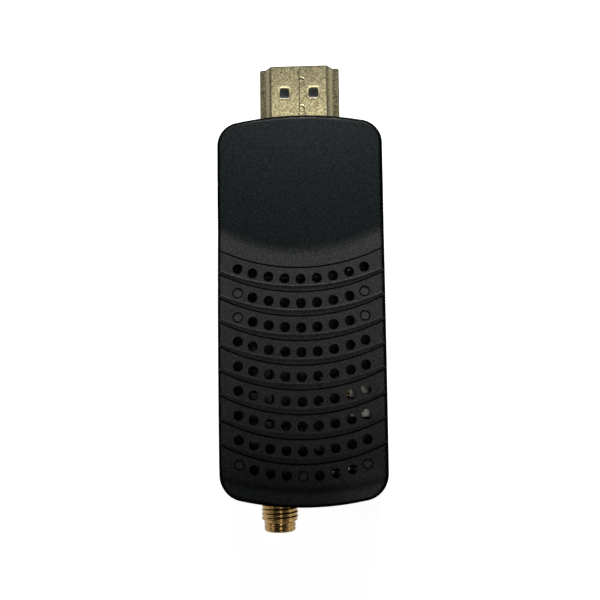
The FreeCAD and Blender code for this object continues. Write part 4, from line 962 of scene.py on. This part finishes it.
# Lit strips overhead: their sides and strength, and the directions over which they fade in
STRIPS = ((-0.86, -0.66, 4.0), (0.12, 0.24, 3.6))
STRIP_FADE = 0.04
STRIP_FOOT = (0.50, 0.56)
STRIP_END = (0.0, -0.1)

# Each lamp's heading from the plug's side and height over the floor in degrees, size in metres and power
LAMPS = (
    ("window_lamp", 2.1, 10.0, (0.30, 0.15), 27.5),
    ("right_lamp", 100.0, 15.0, (0.30, 0.15), 1.1),
    ("left_lamp", -90.0, 15.0, (0.30, 0.15), 0.4),
    ("rear_lamp", 180.0, 15.0, (0.30, 0.15), 0.12),
    ("top_lamp", 0.0, 90.0, (0.30, 0.30), 0.03),
)
LAMP_DISTANCE = 0.9
FLOOR_GREY = (0.80, 0.80, 0.80)


def floor_paint(glow):
    """Pale floor that shows white and takes the object's shadow, clear from below so the back shows"""
    material = bpy.data.materials.new("floor_paint")
    material.use_nodes = True
    paint = Nodes(material.node_tree)
    paint.nodes.clear()
    path = paint.add("ShaderNodeLightPath")
    seen = paint.chain("MAXIMUM", path.outputs["Is Camera Ray"], path.outputs["Is Glossy Ray"],
                       path.outputs["Is Transmission Ray"])
    light = paint.add("ShaderNodeEmission", {"Strength": paint.spread(seen, 0.0, 1.0, 0.0, glow)})
    diffuse = paint.add("ShaderNodeBsdfDiffuse", {"Color": FLOOR_GREY})
    upper = paint.add("ShaderNodeAddShader", {0: diffuse.outputs[0], 1: light.outputs[0]})
    clear = paint.add("ShaderNodeBsdfTransparent")
    below = paint.add("ShaderNodeNewGeometry").outputs["Backfacing"]
    sides = paint.add("ShaderNodeMixShader", {0: below, 1: upper.outputs[0], 2: clear.outputs[0]})
    paint.add("ShaderNodeOutputMaterial", {"Surface": sides.outputs[0]})
    return material


def lay_floor(scene, size, glow):
    """Square floor under the object"""
    half = size / 2
    corners = [(-half, -half, FLOOR), (half, -half, FLOOR), (half, half, FLOOR), (-half, half, FLOOR)]
    mesh = bpy.data.meshes.new("floor")
    mesh.from_pydata(corners, [], [(0, 1, 2, 3)])
    mesh.materials.append(floor_paint(glow))
    floor = bpy.data.objects.new("floor", mesh)
    scene.collection.objects.link(floor)


def mirrored_room(sky):
    """Pale walls, dimmer beyond the jack, that end at a dark ceiling with the lit strips"""
    across, along, up = sky.split(sky.add("ShaderNodeTexCoord").outputs["Generated"])
    room = sky.math("MINIMUM", sky.spread(up, *WALL_TOP, WALL_LIGHT, UPPER_LIGHT),
                    sky.spread(up, *CEILING_EDGE, WALL_LIGHT, CEILING_LIGHT))
    room = sky.math("MULTIPLY", room, sky.spread(along, *JACK_SIDE, 1.0, JACK_SIDE_SHARE))
    for low, high, power in STRIPS:
        strip = sky.chain("MULTIPLY", sky.spread(across, low - STRIP_FADE, low, 0.0, power),
                          sky.spread(across, high, high + STRIP_FADE, 1.0, 0.0),
                          sky.spread(up, *STRIP_FOOT), sky.spread(along, *STRIP_END))
        room = sky.math("ADD", room, strip)
    return room


def paint_sky(scene, strength):
    """Dim sky that shows white to the camera and the mirrored room to metal and glass"""
    world = bpy.data.worlds.new("studio")
    scene.world = world
    world.use_nodes = True
    sky = Nodes(world.node_tree)
    background = sky.nodes["Background"].inputs
    sky.feed(background["Color"], (1, 1, 1))
    path = sky.add("ShaderNodeLightPath")
    mirrored = sky.math("MAXIMUM", path.outputs["Is Glossy Ray"], path.outputs["Is Transmission Ray"])
    room = sky.math("MULTIPLY", mirrored, mirrored_room(sky))
    seen = sky.spread(path.outputs["Is Camera Ray"], 0.0, 1.0, strength, 1.0)
    sky.feed(background["Strength"], sky.math("MAXIMUM", seen, room))


def hang_lamps(scene):
    """Hangs each lamp at its place, facing the object"""
    for name, heading, height, size, power in LAMPS:
        lamp = bpy.data.lights.new(name, "AREA")
        lamp.shape = "RECTANGLE"
        lamp.size, lamp.size_y = size
        lamp.energy = power
        turn = math.radians(heading)
        climb = math.radians(height)
        level = math.cos(climb)
        place = Vector((math.sin(turn) * level, math.cos(turn) * level, math.sin(climb))) * LAMP_DISTANCE
        holder = bpy.data.objects.new(name, lamp)
        scene.collection.objects.link(holder)
        holder.location = place
        holder.rotation_euler = (-place).to_track_quat("-Z", "Y").to_euler()


def set_camera(scene, stage):
    """Camera over the lid, a little toward the right and the tail"""
    camera = bpy.data.objects.new("camera", bpy.data.cameras.new("camera"))
    scene.collection.objects.link(camera)
    camera.data.lens = stage.lens
    camera.data.sensor_width = 36.0
    camera.data.clip_start = 0.005
    camera.data.clip_end = 20.0
    camera.location = stage.camera_place
    camera.rotation_mode = "ZYX"
    camera.rotation_euler = Euler(stage.camera_turn, "ZYX")
    scene.camera = camera
    scene.view_settings.view_transform = "Standard"


class DECODER_OT_stage(bpy.types.Operator):
    """Lay the floor and set the camera and the lamps"""
    bl_idname = "decoder.set_stage"
    bl_label = "Stage"

    def execute(self, context):
        stage = context.scene.decoder_stage
        lay_floor(context.scene, stage.floor_size, stage.floor_glow)
        paint_sky(context.scene, stage.sky)
        hang_lamps(context.scene)
        set_camera(context.scene, stage)
        return {"FINISHED"}


# Panel, in the order that the pieces are made

GROUPS = (
    ("Lid", "decoder_lid", DecoderLidSizes),
    ("Plug", "decoder_plug", DecoderPlugSizes),
    ("Jack", "decoder_jack", DecoderJackSizes),
    ("Finishes", "decoder_finishes", DecoderFinishes),
    ("Stage", "decoder_stage", DecoderStage),
)
PIECES = (DECODER_OT_case, DECODER_OT_plug, DECODER_OT_contacts, DECODER_OT_jack, DECODER_OT_sockets,
          DECODER_OT_board, DECODER_OT_stage)


class DECODER_PT_panel(bpy.types.Panel):
    """Sizes, colours and pieces of the decoder"""
    bl_idname = "DECODER_PT_panel"
    bl_label = "TV decoder"
    bl_space_type = "VIEW_3D"
    bl_region_type = "UI"
    bl_category = "TV Decoder"

    def draw(self, context):
        for title, name, group in GROUPS:
            box = self.layout.box()
            box.label(text=title)
            for key in group.__annotations__:
                box.prop(getattr(context.scene, name), key)
        for operator in PIECES:
            self.layout.operator(operator.bl_idname)


def register():
    for _, name, group in GROUPS:
        bpy.utils.register_class(group)
        setattr(bpy.types.Scene, name, PointerProperty(type=group))
    for operator in PIECES:
        bpy.utils.register_class(operator)
    bpy.utils.register_class(DECODER_PT_panel)


def unregister():
    bpy.utils.unregister_class(DECODER_PT_panel)
    for operator in reversed(PIECES):
        bpy.utils.unregister_class(operator)
    for _, name, group in reversed(GROUPS):
        delattr(bpy.types.Scene, name)
        bpy.utils.unregister_class(group)


def main():
    register()
    bpy.ops.decoder.dress_case()
    bpy.ops.decoder.dress_plug()
    bpy.ops.decoder.gild_contacts()
    bpy.ops.decoder.dress_jack()
    bpy.ops.decoder.dress_sockets()
    bpy.ops.decoder.dress_board()
    bpy.ops.decoder.set_stage()


if __name__ == "__main__":
    main()
